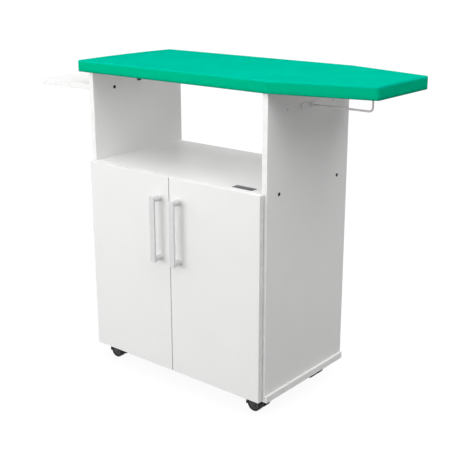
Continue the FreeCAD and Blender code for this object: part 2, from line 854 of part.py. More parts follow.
def caster_plate():
    """The swivel plate with its pin, made under the base with the pin's axis at zero."""
    half = caster_plate_size / 2
    z1 = base_bottom
    z0 = z1 - caster_plate_thickness
    plate = rounded_box(-half, half, -half, half, z0, z1, caster_plate_corner, Z_AXIS)
    pin = rod(swivel_pin_radius, Vector(0, 0, z0 - swivel_pin_length), Vector(0, 0, z1))
    holes = at_sites(wood_screw(screw_fit, caster_screw_length), caster_screw_sites())
    return cut_all(one(plate.fuse(pin)), holes)


def caster_screw_sites():
    """The head points of a caster plate's four screws, about the pin."""
    half = caster_hole_spacing / 2
    z = base_bottom - caster_plate_thickness
    return [(Vector(x, y, z), -Z_AXIS) for x in (-half, half) for y in (-half, half)]


def caster_screws(grow):
    """The screws of all the casters, or their holes when grown."""
    screws = at_sites(wood_screw(grow, caster_screw_length), caster_screw_sites())
    return [moved(screw, x, y, 0) for x, y in caster_places.values() for screw in screws]


def caster_hood():
    """The hood: a round fender over both wheels, with a web between them for pin and axle."""
    x, half = -caster_trail, hood_width / 2
    axle_middle = Vector(x, 0, wheel_radius)
    fender = centred_rod(hood_radius, axle_middle, Y_AXIS, half)
    below = [Vector(x - 2 * hood_radius, -half - overrun, wheel_radius - hood_rear_drop),
             Vector(x - hood_radius, -half - overrun, wheel_radius - hood_rear_drop),
             Vector(x + hood_radius, -half - overrun, wheel_radius + hood_front_rise),
             Vector(x + 2 * hood_radius, -half - overrun, wheel_radius + hood_front_rise),
             Vector(x + 2 * hood_radius, -half - overrun, -hood_radius),
             Vector(x - 2 * hood_radius, -half - overrun, -hood_radius)]
    wedge = Part.Face(Part.makePolygon(below + below[:1])).extrude(Vector(0, hood_width + 2 * overrun, 0))
    boss_top = wheel_radius + hood_radius + hood_boss_rise
    boss = rod(hood_boss_radius, Vector(0, 0, wheel_radius), Vector(0, 0, boss_top))
    hood = one(fender.cut(wedge).fuse(boss))
    hood = one(hood.fuse(centred_rod(web_boss_radius, axle_middle, Y_AXIS, web_thickness / 2)))
    tools = []
    for side in (-1, 1):
        near = axle_middle + Y_AXIS * side * web_thickness / 2
        far = axle_middle + Y_AXIS * side * (half + overrun)
        tools.append(rod(wheel_radius + hood_clearance, near, far))
    bore_bottom = base_bottom - caster_plate_thickness - swivel_pin_length - swivel_bore_extra
    bore_radius = swivel_pin_radius + axle_play
    tools.append(rod(bore_radius, Vector(0, 0, bore_bottom), Vector(0, 0, boss_top + overrun)))
    tools.append(centred_rod(axle_radius + axle_press, axle_middle, Y_AXIS, half))
    return cut_all(hood, tools)


def caster_axle():
    """The axle through the web and both wheels."""
    reach = wheel_gap / 2 + wheel_width - wheel_dish_depth - axle_end_inset
    return centred_rod(axle_radius, Vector(-caster_trail, 0, wheel_radius), Y_AXIS, reach)


def caster_wheel(side):
    """One wheel, a solid of revolution with a dished outer face. Side is -1 in front, 1 behind."""
    bore = axle_radius + axle_play
    inner, outer = wheel_gap / 2, wheel_gap / 2 + wheel_width
    r, e = wheel_radius, wheel_edge_radius
    rim = r - wheel_rim_width
    dish = outer - wheel_dish_depth
    outline = [(bore, inner), (r, inner), (r, outer), (rim, outer), (rim - wheel_dish_slope, dish),
               (wheel_hub_radius + wheel_dish_slope, dish), (wheel_hub_radius, dish + wheel_dish_slope),
               (bore, dish + wheel_dish_slope)]
    wheel = revolved(outline, Z_AXIS)
    tread = [edge for edge in wheel.Edges if edge.BoundBox.XMax > r - SAME_PLACE_SHARE and edge.Closed]
    wheel = wheel.makeFillet(e, tread)
    return moved(turned(wheel, Y_AXIS * side), -caster_trail, 0, wheel_radius)


def cabinet_pieces():
    """Every node's name and its shape."""
    pieces = {
        "left_side_panel": left_side_panel(),
        "right_side_panel": right_side_panel(),
        "base_panel": base_panel(),
        "niche_shelf": niche_shelf(),
        "inner_shelf": inner_shelf(),
        "shelf_pins": shelf_pins(),
        "back_panel": back_panel(),
        "carcass_screws": carcass_screws(),
        "iron_rest_shelf": iron_rest_shelf(),
        "iron_rest_screws": iron_rest_screws(),
        "board_core": board_core(),
        "foam_pad": foam_pad(),
        "ironing_cover": ironing_cover(),
        "board_brackets": board_brackets(),
        "bracket_screws": group(bracket_screws(0)),
        "hanger_rail": hanger_rail(),
        "rail_wall_flange": rail_wall_flange(),
        "rail_board_flange": rail_board_flange(),
        "rail_screws": group(rail_screws(0)),
        "caster_screws": group(caster_screws(0)),
        "hinge_plate_screws": hinge_plate_screws(),
    }
    left = {
        "door": door(),
        "handle": handle(),
        "handle_screws": group(at_handle_posts(handle_screw(0))),
        "cup_screws": cup_screws(),
        "hinge_pins": group(at_hinges(hinge_pin())),
    }
    for name, height in hinge_heights.items():
        left[name + "_hinge_cup"] = moved(hinge_cup(), hinge_x, hinge_y, height)
        left[name + "_hinge_arm"] = moved(hinge_arm(), hinge_x, hinge_y, height)
    for name, shape in left.items():
        pieces["left_" + name] = shape
        pieces["right_" + name] = mirrored(shape)
    plates = at_hinges(hinge_plate())
    pieces["hinge_plates"] = group(plates + [mirrored(p) for p in plates])
    caster = {
        "plate": caster_plate(),
        "hood": caster_hood(),
        "axle": caster_axle(),
        "front_wheel": caster_wheel(-1),
        "rear_wheel": caster_wheel(1),
    }
    for place, (x, y) in caster_places.items():
        for name, shape in caster.items():
            pieces[place + "_caster_" + name] = moved(shape, x, y, 0)
    return pieces


os.makedirs("parts", exist_ok=True)
for node, shape in cabinet_pieces().items():
    moved(shape, -origin_x, -origin_y, 0).exportStep("parts/" + node + ".step")
print("origin from the left panel's front edge", origin_x, origin_y)
print("left door's pin", hinge_x - origin_x, hinge_y - origin_y)
for place, (x, y) in caster_places.items():
    print(place, "swivel", x - origin_x, y - origin_y, "axle", x - caster_trail - origin_x, wheel_radius)
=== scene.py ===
"""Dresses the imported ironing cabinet: laminated boards, padded cotton top, hinges, handles,
hanger rail and casters, with a plain studio and the camera of the photograph.

Every length is in metres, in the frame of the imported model: +X towards the top's nose, -Y the
doors' side, +Z up, with the origin on the floor under the middle of the cabinet.
"""
import logging
import math
from dataclasses import dataclass, field, replace
from enum import Enum
from typing import Iterable, Optional, Sequence

import bmesh
import bpy
import numpy as np
from mathutils import Matrix, Vector, noise
from mathutils.bvhtree import BVHTree
from mathutils.geometry import convex_hull_2d


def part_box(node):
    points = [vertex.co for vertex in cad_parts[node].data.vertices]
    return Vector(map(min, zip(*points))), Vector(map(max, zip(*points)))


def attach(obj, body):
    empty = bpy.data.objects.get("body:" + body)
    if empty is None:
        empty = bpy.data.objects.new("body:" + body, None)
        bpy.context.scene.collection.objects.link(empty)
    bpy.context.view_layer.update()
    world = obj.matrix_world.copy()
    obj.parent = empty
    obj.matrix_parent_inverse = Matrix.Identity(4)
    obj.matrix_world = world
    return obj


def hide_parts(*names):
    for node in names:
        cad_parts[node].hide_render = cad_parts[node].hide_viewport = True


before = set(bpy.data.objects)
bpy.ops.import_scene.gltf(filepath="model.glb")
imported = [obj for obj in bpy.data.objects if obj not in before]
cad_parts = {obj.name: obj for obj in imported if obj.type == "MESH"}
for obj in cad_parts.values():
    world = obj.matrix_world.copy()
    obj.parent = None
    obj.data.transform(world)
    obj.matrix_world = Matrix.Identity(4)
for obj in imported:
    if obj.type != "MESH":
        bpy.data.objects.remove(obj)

LOG = logging.getLogger("ironing_cabinet")
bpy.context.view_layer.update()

MM = 0.001
Point = tuple[float, float, float]
Colour = tuple[float, float, float]
Socket = bpy.types.NodeSocket
WELD = 0.01 * MM
SAME_LEVEL = 0.1 * MM
SHARP_ANGLE = math.radians(38)
CABINET = "cabinet"

# The display curve: full white, and the straight toe under the power curve
WHITE = 255
GAMMA = 2.4
TOE = 0.055
TOE_SLOPE = 12.92
TOE_END = 10.3 / WHITE


class Side(Enum):
    """A face of a board, as its outward direction."""

    FRONT = (0, -1, 0)
    BACK = (0, 1, 0)
    LEFT = (-1, 0, 0)
    RIGHT = (1, 0, 0)
    TOP = (0, 0, 1)
    BOTTOM = (0, 0, -1)


class Recess(Enum):
    """The drive in a screw's head."""

    HEXAGON = "hexagon"
    CROSS = "cross"


def linear(*shades: float) -> Colour:
    """The linear colour of a grey, or of red, green and blue display shades from 0 to 255."""
    full = [shade / WHITE for shade in (shades if len(shades) == 3 else shades * 3)]
    return tuple(((s + TOE) / (1 + TOE)) ** GAMMA if s > TOE_END else s / TOE_SLOPE for s in full)


@dataclass(frozen=True)
class Grain:
    """A noise: its features per metre, its octaves, their strength, its stretch along X, Y, Z."""

    scale: float
    octaves: float = 2.0
    strength: float = 0.5
    stretch: Optional[Point] = None


@dataclass(frozen=True)
class Band:
    """Where a pattern's values start and end, and what they become there."""

    low: float
    high: float
    start: float = 0.0
    end: float = 1.0


class Graph:
    """A node tree in the making."""

    def __init__(self, tree: bpy.types.NodeTree) -> None:
        """Takes the tree to build in."""
        self.tree = tree

    def plug(self, value: object, target: Socket) -> None:
        """Feeds a node's input.

        Args:
            value: A socket, a list of sockets, a colour or a plain value.
            target: The input.
        """
        for item in value if isinstance(value, list) else [value]:
            if isinstance(item, Socket):
                self.tree.links.new(item, target)
            else:
                target.default_value = (*item, 1.0) if target.type == "RGBA" else item

    def node(self, kind: str, inputs: Optional[dict[object, object]] = None,
             **settings: object) -> bpy.types.Node:
        """Adds a node, sets its properties and fills its inputs.

        Args:
            kind: The node's type name.
            inputs: Socket names or indices, with what feeds them.
            settings: Property names and values.

        Returns:
            The new node.
        """
        made = self.tree.nodes.new(kind)
        for name, value in settings.items():
            setattr(made, name, value)
        for key, value in (inputs or {}).items():
            self.plug(value, made.inputs[key])
        return made

    def math(self, operation: str, *values: object) -> Socket:
        """A Math node's result on one or two values, each a socket or a number."""
        return self.node("ShaderNodeMath", dict(enumerate(values)),
                         operation=operation).outputs["Value"]

    def straight_rays(self) -> Socket:
        """1 for the camera's rays and those that gloss or glass passes on, otherwise 0.

        Returns:
            The value's socket.
        """
        rays = self.node("ShaderNodeLightPath").outputs
        straight = rays["Is Camera Ray"]
        for kind in ("Is Glossy Ray", "Is Transmission Ray"):
            straight = self.math("MAXIMUM", straight, rays[kind])
        return straight


class Recipe(Graph):
    """A material's node tree in the making, on Object coordinates."""

    def __init__(self, name: str) -> None:
        """Starts a material with a Principled shader.

        Args:
            name: The material's name.
        """
        self.material = bpy.data.materials.new(name)
        self.material.use_nodes = True
        super().__init__(self.material.node_tree)
        self.shader = self.tree.nodes["Principled BSDF"]
        self.place = self.node("ShaderNodeTexCoord").outputs["Object"]

    def noise(self, grain: Grain) -> Socket:
        """A noise pattern from 0 to 1.

        Args:
            grain: What the noise is like.

        Returns:
            The pattern's value socket.
        """
        where = self.place
        if grain.stretch:
            where = self.node("ShaderNodeMapping", {
                "Vector": where, "Scale": grain.stretch}).outputs["Vector"]
        return self.node("ShaderNodeTexNoise", {
            "Scale": grain.scale, "Detail": grain.octaves, "Roughness": grain.strength,
            "Vector": where}).outputs["Fac"]

    def ramp(self, source: Socket, band: Band, start: Colour, end: Colour) -> Socket:
        """A colour ramp with two stops.

        Args:
            source: The value to map.
            band: Where the stops lie.
            start: The colour at the first stop.
            end: The colour at the last stop.

        Returns:
            The ramp's colour socket.
        """
        made = self.node("ShaderNodeValToRGB", {"Fac": source})
        first, last = made.color_ramp.elements
        first.position, last.position = band.low, band.high
        first.color, last.color = (*start, 1.0), (*end, 1.0)
        return made.outputs["Color"]

    def spread(self, source: Socket, band: Band) -> Socket:
        """Maps a value along a band, clamped at its ends.

        Args:
            source: The value to map.
            band: The band.

        Returns:
            The mapped value's socket.
        """
        return self.node("ShaderNodeMapRange", {
            "Value": source, "From Min": band.low, "From Max": band.high, "To Min": band.start,
            "To Max": band.end}).outputs["Result"]

    def mix(self, factor: Socket, first: object, second: object) -> Socket:
        """Mixes two colours, each a socket or a colour.

        Args:
            factor: How much of the second.
            first: The first colour.
            second: The second colour.

        Returns:
            The mixed colour's socket.
        """
        made = self.node("ShaderNodeMix", {"Factor": factor}, data_type="RGBA")
        for value, name in ((first, "A"), (second, "B")):
            target = next(s for s in made.inputs if s.name == name and s.type == "RGBA")
            self.plug(value, target)
        return next(s for s in made.outputs if s.type == "RGBA")

    def axis(self, name: str) -> Socket:
        """One of the object coordinates, by the name X, Y or Z."""
        return self.node("ShaderNodeSeparateXYZ", {"Vector": self.place}).outputs[name]

    def bump(self, height: Socket, depth: float, strength: float = 1.0,
             below: Optional[Socket] = None) -> Socket:
        """A bump from a height pattern.

        Args:
            height: The pattern.
            depth: The pattern's height in metres.
            strength: How strong the bump is.
            below: A normal that this bump lies on.

        Returns:
            The normal's socket.
        """
        inputs = {"Distance": depth, "Strength": strength, "Height": height}
        if below:
            inputs["Normal"] = below
        return self.node("ShaderNodeBump", inputs).outputs["Normal"]

    def surface(self, colour: object, rough: object, normal: Optional[Socket] = None,
                **fixed: float) -> bpy.types.Material:
        """Sets the shader's sockets.

        Args:
            colour: The base colour, a socket or a colour.
            rough: The roughness, a socket or a number.
            normal: The normal's socket.
            fixed: Other sockets' names, with _ for a space, and their values.

        Returns:
            The finished material.
        """
        values = {"Base Color": colour, "Roughness": rough}
        values.update((name.replace("_", " "), value) for name, value in fixed.items())
        if normal:
            values["Normal"] = normal
        for name, value in values.items():
            self.plug(value, self.shader.inputs[name])
        return self.material


@dataclass(frozen=True)
class Finish:
    """What most finishes share: a clouded colour, a roughness that follows a sheen, and a relief.

    Its colours are those where the cloud is low and high, and the sheen's band adds to its
    roughness.
    """

    name: str
    low_colour: Colour
    high_colour: Colour
    rough: float
    cloud: Grain
    cloud_band: Band
    sheen: Grain
    sheen_band: Band
    relief: Grain
    depth: float
    metallic: float = 0.0
    specular: float = 0.5

    def build(self) -> bpy.types.Material:
        """Builds the material.

        Returns:
            The material.
        """
        recipe = Recipe(self.name)
        colour = recipe.ramp(recipe.noise(self.cloud), self.cloud_band, self.low_colour,
                             self.high_colour)
        band = replace(self.sheen_band, start=self.rough + self.sheen_band.start,
                       end=self.rough + self.sheen_band.end)
        rough = recipe.spread(recipe.noise(self.sheen), band)
        normal = recipe.bump(recipe.noise(self.relief), self.depth)
        return recipe.surface(colour, rough, normal, Metallic=self.metallic,
                              Specular_IOR_Level=self.specular)


@dataclass(frozen=True)
class Laminate(Finish):
    """White melamine-faced board: a satin film with a fine pearl emboss and faint smudges."""

    name: str = "white_laminate"
    low_colour: Colour = linear(235, 235, 234)
    high_colour: Colour = linear(237, 237, 236)
    rough: float = 0.33
    cloud: Grain = Grain(9.0, 4.0, 0.55)
    cloud_band: Band = Band(0.35, 0.7)
    sheen: Grain = Grain(26.0, 5.0, 0.6, (1.0, 1.0, 0.35))
    sheen_band: Band = Band(0.3, 0.75, 0.0, 0.1)
    relief: Grain = Grain(1300.0)
    depth: float = 0.012 * MM
    specular: float = 0.3


@dataclass(frozen=True)
class EdgeTape(Finish):
    """The smoother plastic tape that closes a board's cut edges."""

    name: str = "white_edge_tape"
    low_colour: Colour = linear(234, 234, 232)
    high_colour: Colour = linear(242, 242, 241)
    rough: float = 0.26
    cloud: Grain = Grain(40.0, 3.0)
    cloud_band: Band = Band(0.3, 0.6)
    sheen: Grain = Grain(120.0, 3.0)
    sheen_band: Band = Band(0.3, 0.7, 0.0, 0.1)
    relief: Grain = Grain(900.0, 1.0)
    depth: float = 0.006 * MM
    specular: float = 0.38


@dataclass(frozen=True)
class SatinPaint(Finish):
    """Satin paint or plating on a casting: fine orange peel and a few duller patches."""

    cloud: Grain = Grain(60.0, 4.0, 0.6)
    cloud_band: Band = Band(0.3, 0.65)
    sheen: Grain = Grain(60.0, 4.0, 0.6)
    sheen_band: Band = Band(0.3, 0.7, 0.07, -0.04)
    relief: Grain = Grain(1500.0)
    depth: float = 0.012 * MM


@dataclass(frozen=True)
class PlatedSteel(Finish):
    """Bright zinc or nickel on pressed steel, with rolling lines and a faint bloom."""

    cloud: Grain = Grain(150.0, 4.0, 0.6)
    cloud_band: Band = Band(0.3, 0.7)
    sheen: Grain = Grain(2400.0, 3.0, 0.6, (1.0, 1.0, 0.05))
    sheen_band: Band = Band(0.25, 0.75, -0.06, 0.1)
    relief: Grain = Grain(2400.0, 3.0, 0.6, (1.0, 1.0, 0.05))
    depth: float = 0.006 * MM
    metallic: float = 1.0


@dataclass(frozen=True)
class BlackenedSteel(Finish):
    """Black oxide on steel, rubbed pale on its raised grain."""

    name: str = "blackened_steel"
    low_colour: Colour = linear(34, 34, 36)
    high_colour: Colour = linear(82, 82, 84)
    rough: float = 0.5
    cloud: Grain = Grain(1600.0, 3.0, 0.6)
    cloud_band: Band = Band(0.55, 0.8)
    sheen: Grain = Grain(1600.0, 3.0, 0.6)
    sheen_band: Band = Band(0.3, 0.7, 0.0, -0.14)
    relief: Grain = Grain(1600.0, 3.0, 0.6)
    depth: float = 0.02 * MM
    metallic: float = 0.7


@dataclass(frozen=True)
class MouldedPlastic(Finish):
    """Moulded plastic with a spark-eroded texture, and dust where its cloud is high."""

    cloud: Grain = Grain(90.0, 5.0, 0.65)
    cloud_band: Band = Band(0.48, 0.8)
    sheen: Grain = Grain(90.0, 5.0, 0.65)
    sheen_band: Band = Band(0.3, 0.75, -0.05, 0.12)
    relief: Grain = Grain(1900.0, 3.0, 0.6)
    depth: float = 0.03 * MM
    specular: float = 0.2


@dataclass(frozen=True)
class Hardboard:
    """Thin hardboard: lacquered white towards the shelves, bare brown fibre behind."""

    split_y: float
    name: str = "lacquered_hardboard"
    lacquer: Colour = linear(233, 233, 230)
    fibre_dark: Colour = linear(118, 86, 58)
    fibre_pale: Colour = linear(156, 122, 88)
    fibre: Grain = Grain(420.0, 6.0, 0.7, (1.0, 1.0, 0.6))
    fibre_band: Band = Band(0.3, 0.72)
    rough_band: Band = Band(0.3, 0.7, 0.5, 0.62)
    depth: float = 0.04 * MM

    def build(self) -> bpy.types.Material:
        """Builds the material.

        Returns:
            The material.
        """
        recipe = Recipe(self.name)
        fibres = recipe.noise(self.fibre)
        brown = recipe.ramp(fibres, self.fibre_band, self.fibre_dark, self.fibre_pale)
        behind = recipe.math("GREATER_THAN", recipe.axis("Y"), self.split_y)
        rough = recipe.spread(fibres, self.rough_band)
        normal = recipe.bump(fibres, self.depth)
        return recipe.surface(recipe.mix(behind, self.lacquer, brown), rough, normal)


@dataclass(frozen=True)
class Cotton:
    """Green cotton twill: threads over and under, slubs and a soft nap. The sides carry painted
    shade:
    a greener, slightly darker colour than the top's, standing in for the shade that falls on them."""

    name: str = "green_cotton"
    colour: Colour = linear(0, 188, 158)
    shade: Colour = linear(0, 181, 150)
    slub: Colour = linear(2, 198, 168)
    # The sides' colours below are painted shade: greener and a little darker than the top's colour
    painted_side_shade: Colour = linear(0, 184, 138)
    painted_side_shade_slub: Colour = linear(1, 194, 148)
    # Where the sides' painted shade starts under the top, and over how much height it blends into
    # the top's colour
    shoulder_drop: float = 2.0 * MM
    painted_shade_run: float = 3.0 * MM
    fade: Grain = Grain(7.0, 3.0)
    fade_band: Band = Band(0.32, 0.68)
    slubs: Grain = Grain(700.0, 2.0, 0.6, (0.12, 1.0, 1.0))
    slub_band: Band = Band(0.6, 0.78, 0.0, 0.35)
    thread: float = 0.55 * MM
    thread_depth: float = 0.11 * MM
    thread_strength: float = 0.7
    nap: Grain = Grain(2600.0, 3.0, 0.7)
    nap_share: float = 1.2
    rough_band: Band = Band(0.3, 0.7, 0.78, 0.92)
    rumple: Grain = Grain(45.0, 4.0)
    rumple_depth: float = 0.5 * MM
    rumple_strength: float = 0.5

    def build(self) -> bpy.types.Material:
        """Builds the material.

        Returns:
            The material.
        """
        recipe = Recipe(self.name)
        turns = 2 * math.pi / self.thread
        # The weave runs on X against Y plus Z, so that it covers the top and the sides alike
        across = recipe.math("SINE", recipe.math("MULTIPLY", recipe.axis("X"), turns))
        run = recipe.math("ADD", recipe.axis("Y"), recipe.axis("Z"))
        along = recipe.math("SINE", recipe.math("MULTIPLY", run, turns))
        nap = recipe.noise(self.nap)
        height = recipe.math("ADD", recipe.math("MULTIPLY", across, along),
                             recipe.math("MULTIPLY", nap, self.nap_share))
        faded = recipe.ramp(recipe.noise(self.fade), self.fade_band, self.shade, self.colour)
        slubs = recipe.spread(recipe.noise(self.slubs), self.slub_band)
        top = recipe.mix(slubs, faded, self.slub)
        # Painted shade: the sides take a greener, darker colour than the top, blended in by height
        # below the shoulder
        side = recipe.mix(slubs, self.painted_side_shade, self.painted_side_shade_slub)
        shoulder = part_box("foam_pad")[1].z - self.shoulder_drop
        top_share_over_painted_shade = recipe.spread(recipe.axis("Z"), Band(shoulder - self.painted_shade_run, shoulder))
        soft = recipe.bump(recipe.noise(self.rumple), self.rumple_depth, self.rumple_strength)
        normal = recipe.bump(height, self.thread_depth, self.thread_strength, soft)
        return recipe.surface(recipe.mix(top_share_over_painted_shade, side, top), recipe.spread(nap, self.rough_band),
                              normal, Specular_IOR_Level=0.0)


@dataclass(frozen=True)
class Binding:
    """The cover's rolled hem and its thread, ribbed by the stitching. Their green is darker than
    the cotton's: partly the binding's own colour, partly painted shade for the shadow along the
    cover's lower edge.
    """

    name: str = "hem_binding"
    # Darker than the cotton: partly the binding's own colour, partly painted shade along the
    # cover's lower edge
    colour: Colour = linear(0, 150, 122)
    shade: Colour = linear(0, 124, 98)
    ribs: Grain = Grain(380.0, 2.0, 0.6)
    rib_band: Band = Band(0.35, 0.65)
    depth: float = 0.12 * MM
    rough: float = 0.85
    specular: float = 0.02

    def build(self) -> bpy.types.Material:
        """Builds the material.

        Returns:
            The material.
        """
        recipe = Recipe(self.name)
        ribs = recipe.noise(self.ribs)
        colour = recipe.ramp(ribs, self.rib_band, self.shade, self.colour)
        return recipe.surface(colour, self.rough, recipe.bump(ribs, self.depth),
                              Specular_IOR_Level=self.specular)


@dataclass(frozen=True)
class StudioPaper:
    """The studio's floor: the camera sees white paper with a soft shadow, while the light that it
    throws back is that of a pale grey floor. It glows for seen rays alone, less near the object."""

    name: str = "studio_paper"
    paper: Colour = linear(250)
    fleck: Colour = linear(247)
    bounce: Colour = linear(135)
    grain: Grain = Grain(600.0, 3.0)
    grain_band: Band = Band(0.3, 0.7)
    rough: float = 0.9
    glow_band: Band = Band(0.6, 1.5, 0.9, 1.0)
    glow: float = 1.03

    def build(self) -> bpy.types.Material:
        """Builds the material.

        Returns:
            The material.
        """
        recipe = Recipe(self.name)
        straight = recipe.straight_rays()
        paper = recipe.ramp(recipe.noise(self.grain), self.grain_band, self.fleck, self.paper)
        recipe.surface(recipe.mix(straight, self.bounce, paper), self.rough)
        away = recipe.node("ShaderNodeVectorMath", {0: recipe.place}, operation="LENGTH")
        share = recipe.math("MULTIPLY", straight,
                            recipe.spread(away.outputs["Value"], self.glow_band))
        light = recipe.node("ShaderNodeEmission", {"Strength": self.glow})
        blend = recipe.node("ShaderNodeMixShader", {
            "Fac": share, 1: recipe.shader.outputs["BSDF"], 2: light.outputs["Emission"]})
        recipe.plug(blend.outputs["Shader"],
                    recipe.tree.nodes["Material Output"].inputs["Surface"])
        return recipe.material


def built(kind: type, *values: object, **others: object) -> bpy.types.Material:
    """A dataclass field that holds the material of a finish made with the given values."""
    return field(default_factory=lambda: kind(*values, **others).build())


@dataclass
class Finishes:
    """Every finish of the cabinet, built once."""

    laminate: bpy.types.Material = built(Laminate)
    tape: bpy.types.Material = built(EdgeTape)
    cotton: bpy.types.Material = built(Cotton)
    binding: bpy.types.Material = built(Binding)
    dark_steel: bpy.types.Material = built(BlackenedSteel)
    handle: bpy.types.Material = built(
        SatinPaint, "handle_satin_grey", linear(210), linear(217), 0.36)
    white_paint: bpy.types.Material = built(
        SatinPaint, "flange_white_paint", linear(230), linear(236), 0.4)
    zinc: bpy.types.Material = built(
        PlatedSteel, "zinc_plating", linear(182, 184, 186), linear(205, 208, 212), 0.28)
    nickel: bpy.types.Material = built(
        PlatedSteel, "nickel_plating", linear(198, 196, 192), linear(214, 212, 208), 0.22)
    wire: bpy.types.Material = built(
        SatinPaint, "rail_grey_plating", linear(214, 209, 208), linear(230, 225, 224), 0.42,
        metallic=0.1)
    hood: bpy.types.Material = built(
        MouldedPlastic, "black_hood_plastic", linear(20, 20, 21), linear(32, 32, 33), 0.5)
    wheel: bpy.types.Material = built(
        MouldedPlastic, "wheel_nylon", linear(30, 30, 31), linear(46, 46, 45), 0.55)
    disc: bpy.types.Material = built(
        MouldedPlastic, "wheel_disc_plastic", linear(70, 70, 71), linear(84, 84, 83), 0.5)
    plate: bpy.types.Material = built(
        MouldedPlastic, "blank_plate_film", linear(70, 72, 74), linear(88, 89, 90), 0.35,
        relief=Grain(900.0, 3.0, 0.6), depth=0.006 * MM)


def coat(mesh: bpy.types.Mesh, material: bpy.types.Material) -> None:
    """Makes a material the only one of a mesh."""
    mesh.materials.clear()
    mesh.materials.append(material)


def dress(nodes: Iterable[str], material: bpy.types.Material) -> None:
    """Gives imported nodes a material, and logs them.

    Args:
        nodes: The nodes' names.
        material: Their finish.
    """
    for name in nodes:
        coat(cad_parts[name].data, material)
        LOG.info("dressed %s in %s", name, material.name)


def linked(name: str, data: bpy.types.ID) -> bpy.types.Object:
    """Makes an object and links it to the scene.

    Args:
        name: The object's name.
        data: Its mesh, curve, camera or light.

    Returns:
        The object.
    """
    made = bpy.data.objects.new(name, data)
    bpy.context.scene.collection.objects.link(made)
    return made


def smoothed(mesh: bpy.types.Mesh) -> None:
    """Shades a mesh's faces smooth."""
    mesh.polygons.foreach_set("use_smooth", [True] * len(mesh.polygons))


def mesh_object(name: str, mesh: bpy.types.Mesh, material: bpy.types.Material,
                smooth: bool = True) -> bpy.types.Object:
    """Makes an object from a mesh, with smooth faces that keep their sharp edges.

    Args:
        name: The piece's name.
        mesh: Its mesh.
        material: Its finish.
        smooth: Whether faces are shaded smooth.

    Returns:
        The object, linked to the scene.
    """
    coat(mesh, material)
    if smooth:
        smoothed(mesh)
        mesh.set_sharp_from_angle(angle=SHARP_ANGLE)
    return linked(name, mesh)


def drawn(name: str, shape: bmesh.types.BMesh) -> bpy.types.Mesh:
    """Turns a bmesh into a mesh and frees it.

    Args:
        name: The mesh's name.
        shape: The bmesh.

    Returns:
        The mesh.
    """
    mesh = bpy.data.meshes.new(name)
    shape.to_mesh(mesh)
    shape.free()
    return mesh


def evaluated(made: bpy.types.Object) -> bpy.types.Mesh:
    """An object's shape as a new plain mesh, with its modifiers applied."""
    graph = bpy.context.evaluated_depsgraph_get()
    return bpy.data.meshes.new_from_object(made.evaluated_get(graph), depsgraph=graph)


def baked(made: bpy.types.Object) -> bpy.types.Object:
    """Turns an object's modifiers into plain mesh.

    Args:
        made: The object.

    Returns:
        The same object, without modifiers.
    """
    bpy.context.view_layer.update()
    mesh = evaluated(made)
    made.modifiers.clear()
    made.data = mesh
    return made


def settle(made: bpy.types.Object, body: str = CABINET,
           replaced: Sequence[str] = ()) -> None:
    """Fixes a finished piece to its body and the nodes it stands for.

    Args:
        made: The piece.
        body: The body that carries it.
        replaced: The nodes it replaces.
    """
    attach(made, body)
    if replaced:
        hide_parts(*replaced)
    LOG.info("built %s on %s with %d faces", made.name, body, len(made.data.polygons))


def welded(node: str) -> bmesh.types.BMesh:
    """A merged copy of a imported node's mesh.

    Args:
        node: The node's name.

    Returns:
        A new bmesh, which the caller frees.
    """
    copy = bmesh.new()
    copy.from_mesh(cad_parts[node].data)
    bmesh.ops.remove_doubles(copy, verts=copy.verts, dist=WELD)
    return copy


def solids(node: str) -> list[list[Vector]]:
    """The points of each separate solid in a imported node.

    Args:
        node: The node's name.

    Returns:
        One list of points for each solid.
    """
    copy = welded(node)
    found, seen = [], set()
    for start in copy.verts:
        if start in seen:
            continue
        stack, points = [start], []
        seen.add(start)
        while stack:
            here = stack.pop()
            points.append(here.co.copy())
            for edge in here.link_edges:
                other = edge.other_vert(here)
                if other not in seen:
                    seen.add(other)
                    stack.append(other)
        found.append(points)
    copy.free()
    return found


@dataclass(frozen=True)
class ScrewSite:
    """Where a screw sits: the middle of its head's face, the way it faces and its sizes."""

    head: Vector
    outward: Vector
    head_radius: float
    length: float


def screw_sites(node: str) -> list[ScrewSite]:
    """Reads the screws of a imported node.

    Args:
        node: The node's name.

    Returns:
        A site for each of its screws.
    """
    found = []
    for points in solids(node):
        low = Vector(min(p[k] for p in points) for k in range(3))
        high = Vector(max(p[k] for p in points) for k in range(3))
        size = high - low
        run = max(range(3), key=lambda k: size[k])
        others = [k for k in range(3) if k != run]
        head = (low + high) / 2
        reach, head[run] = max(
            (max(math.hypot(*(p[k] - head[k] for k in others))
                 for p in points if abs(p[run] - level) < SAME_LEVEL), level)
            for level in (low[run], high[run]))
        outward = Vector((0.0, 0.0, 0.0))
        outward[run] = 1.0 if head[run] == high[run] else -1.0
        found.append(ScrewSite(head, outward, reach, size[run]))
    return found


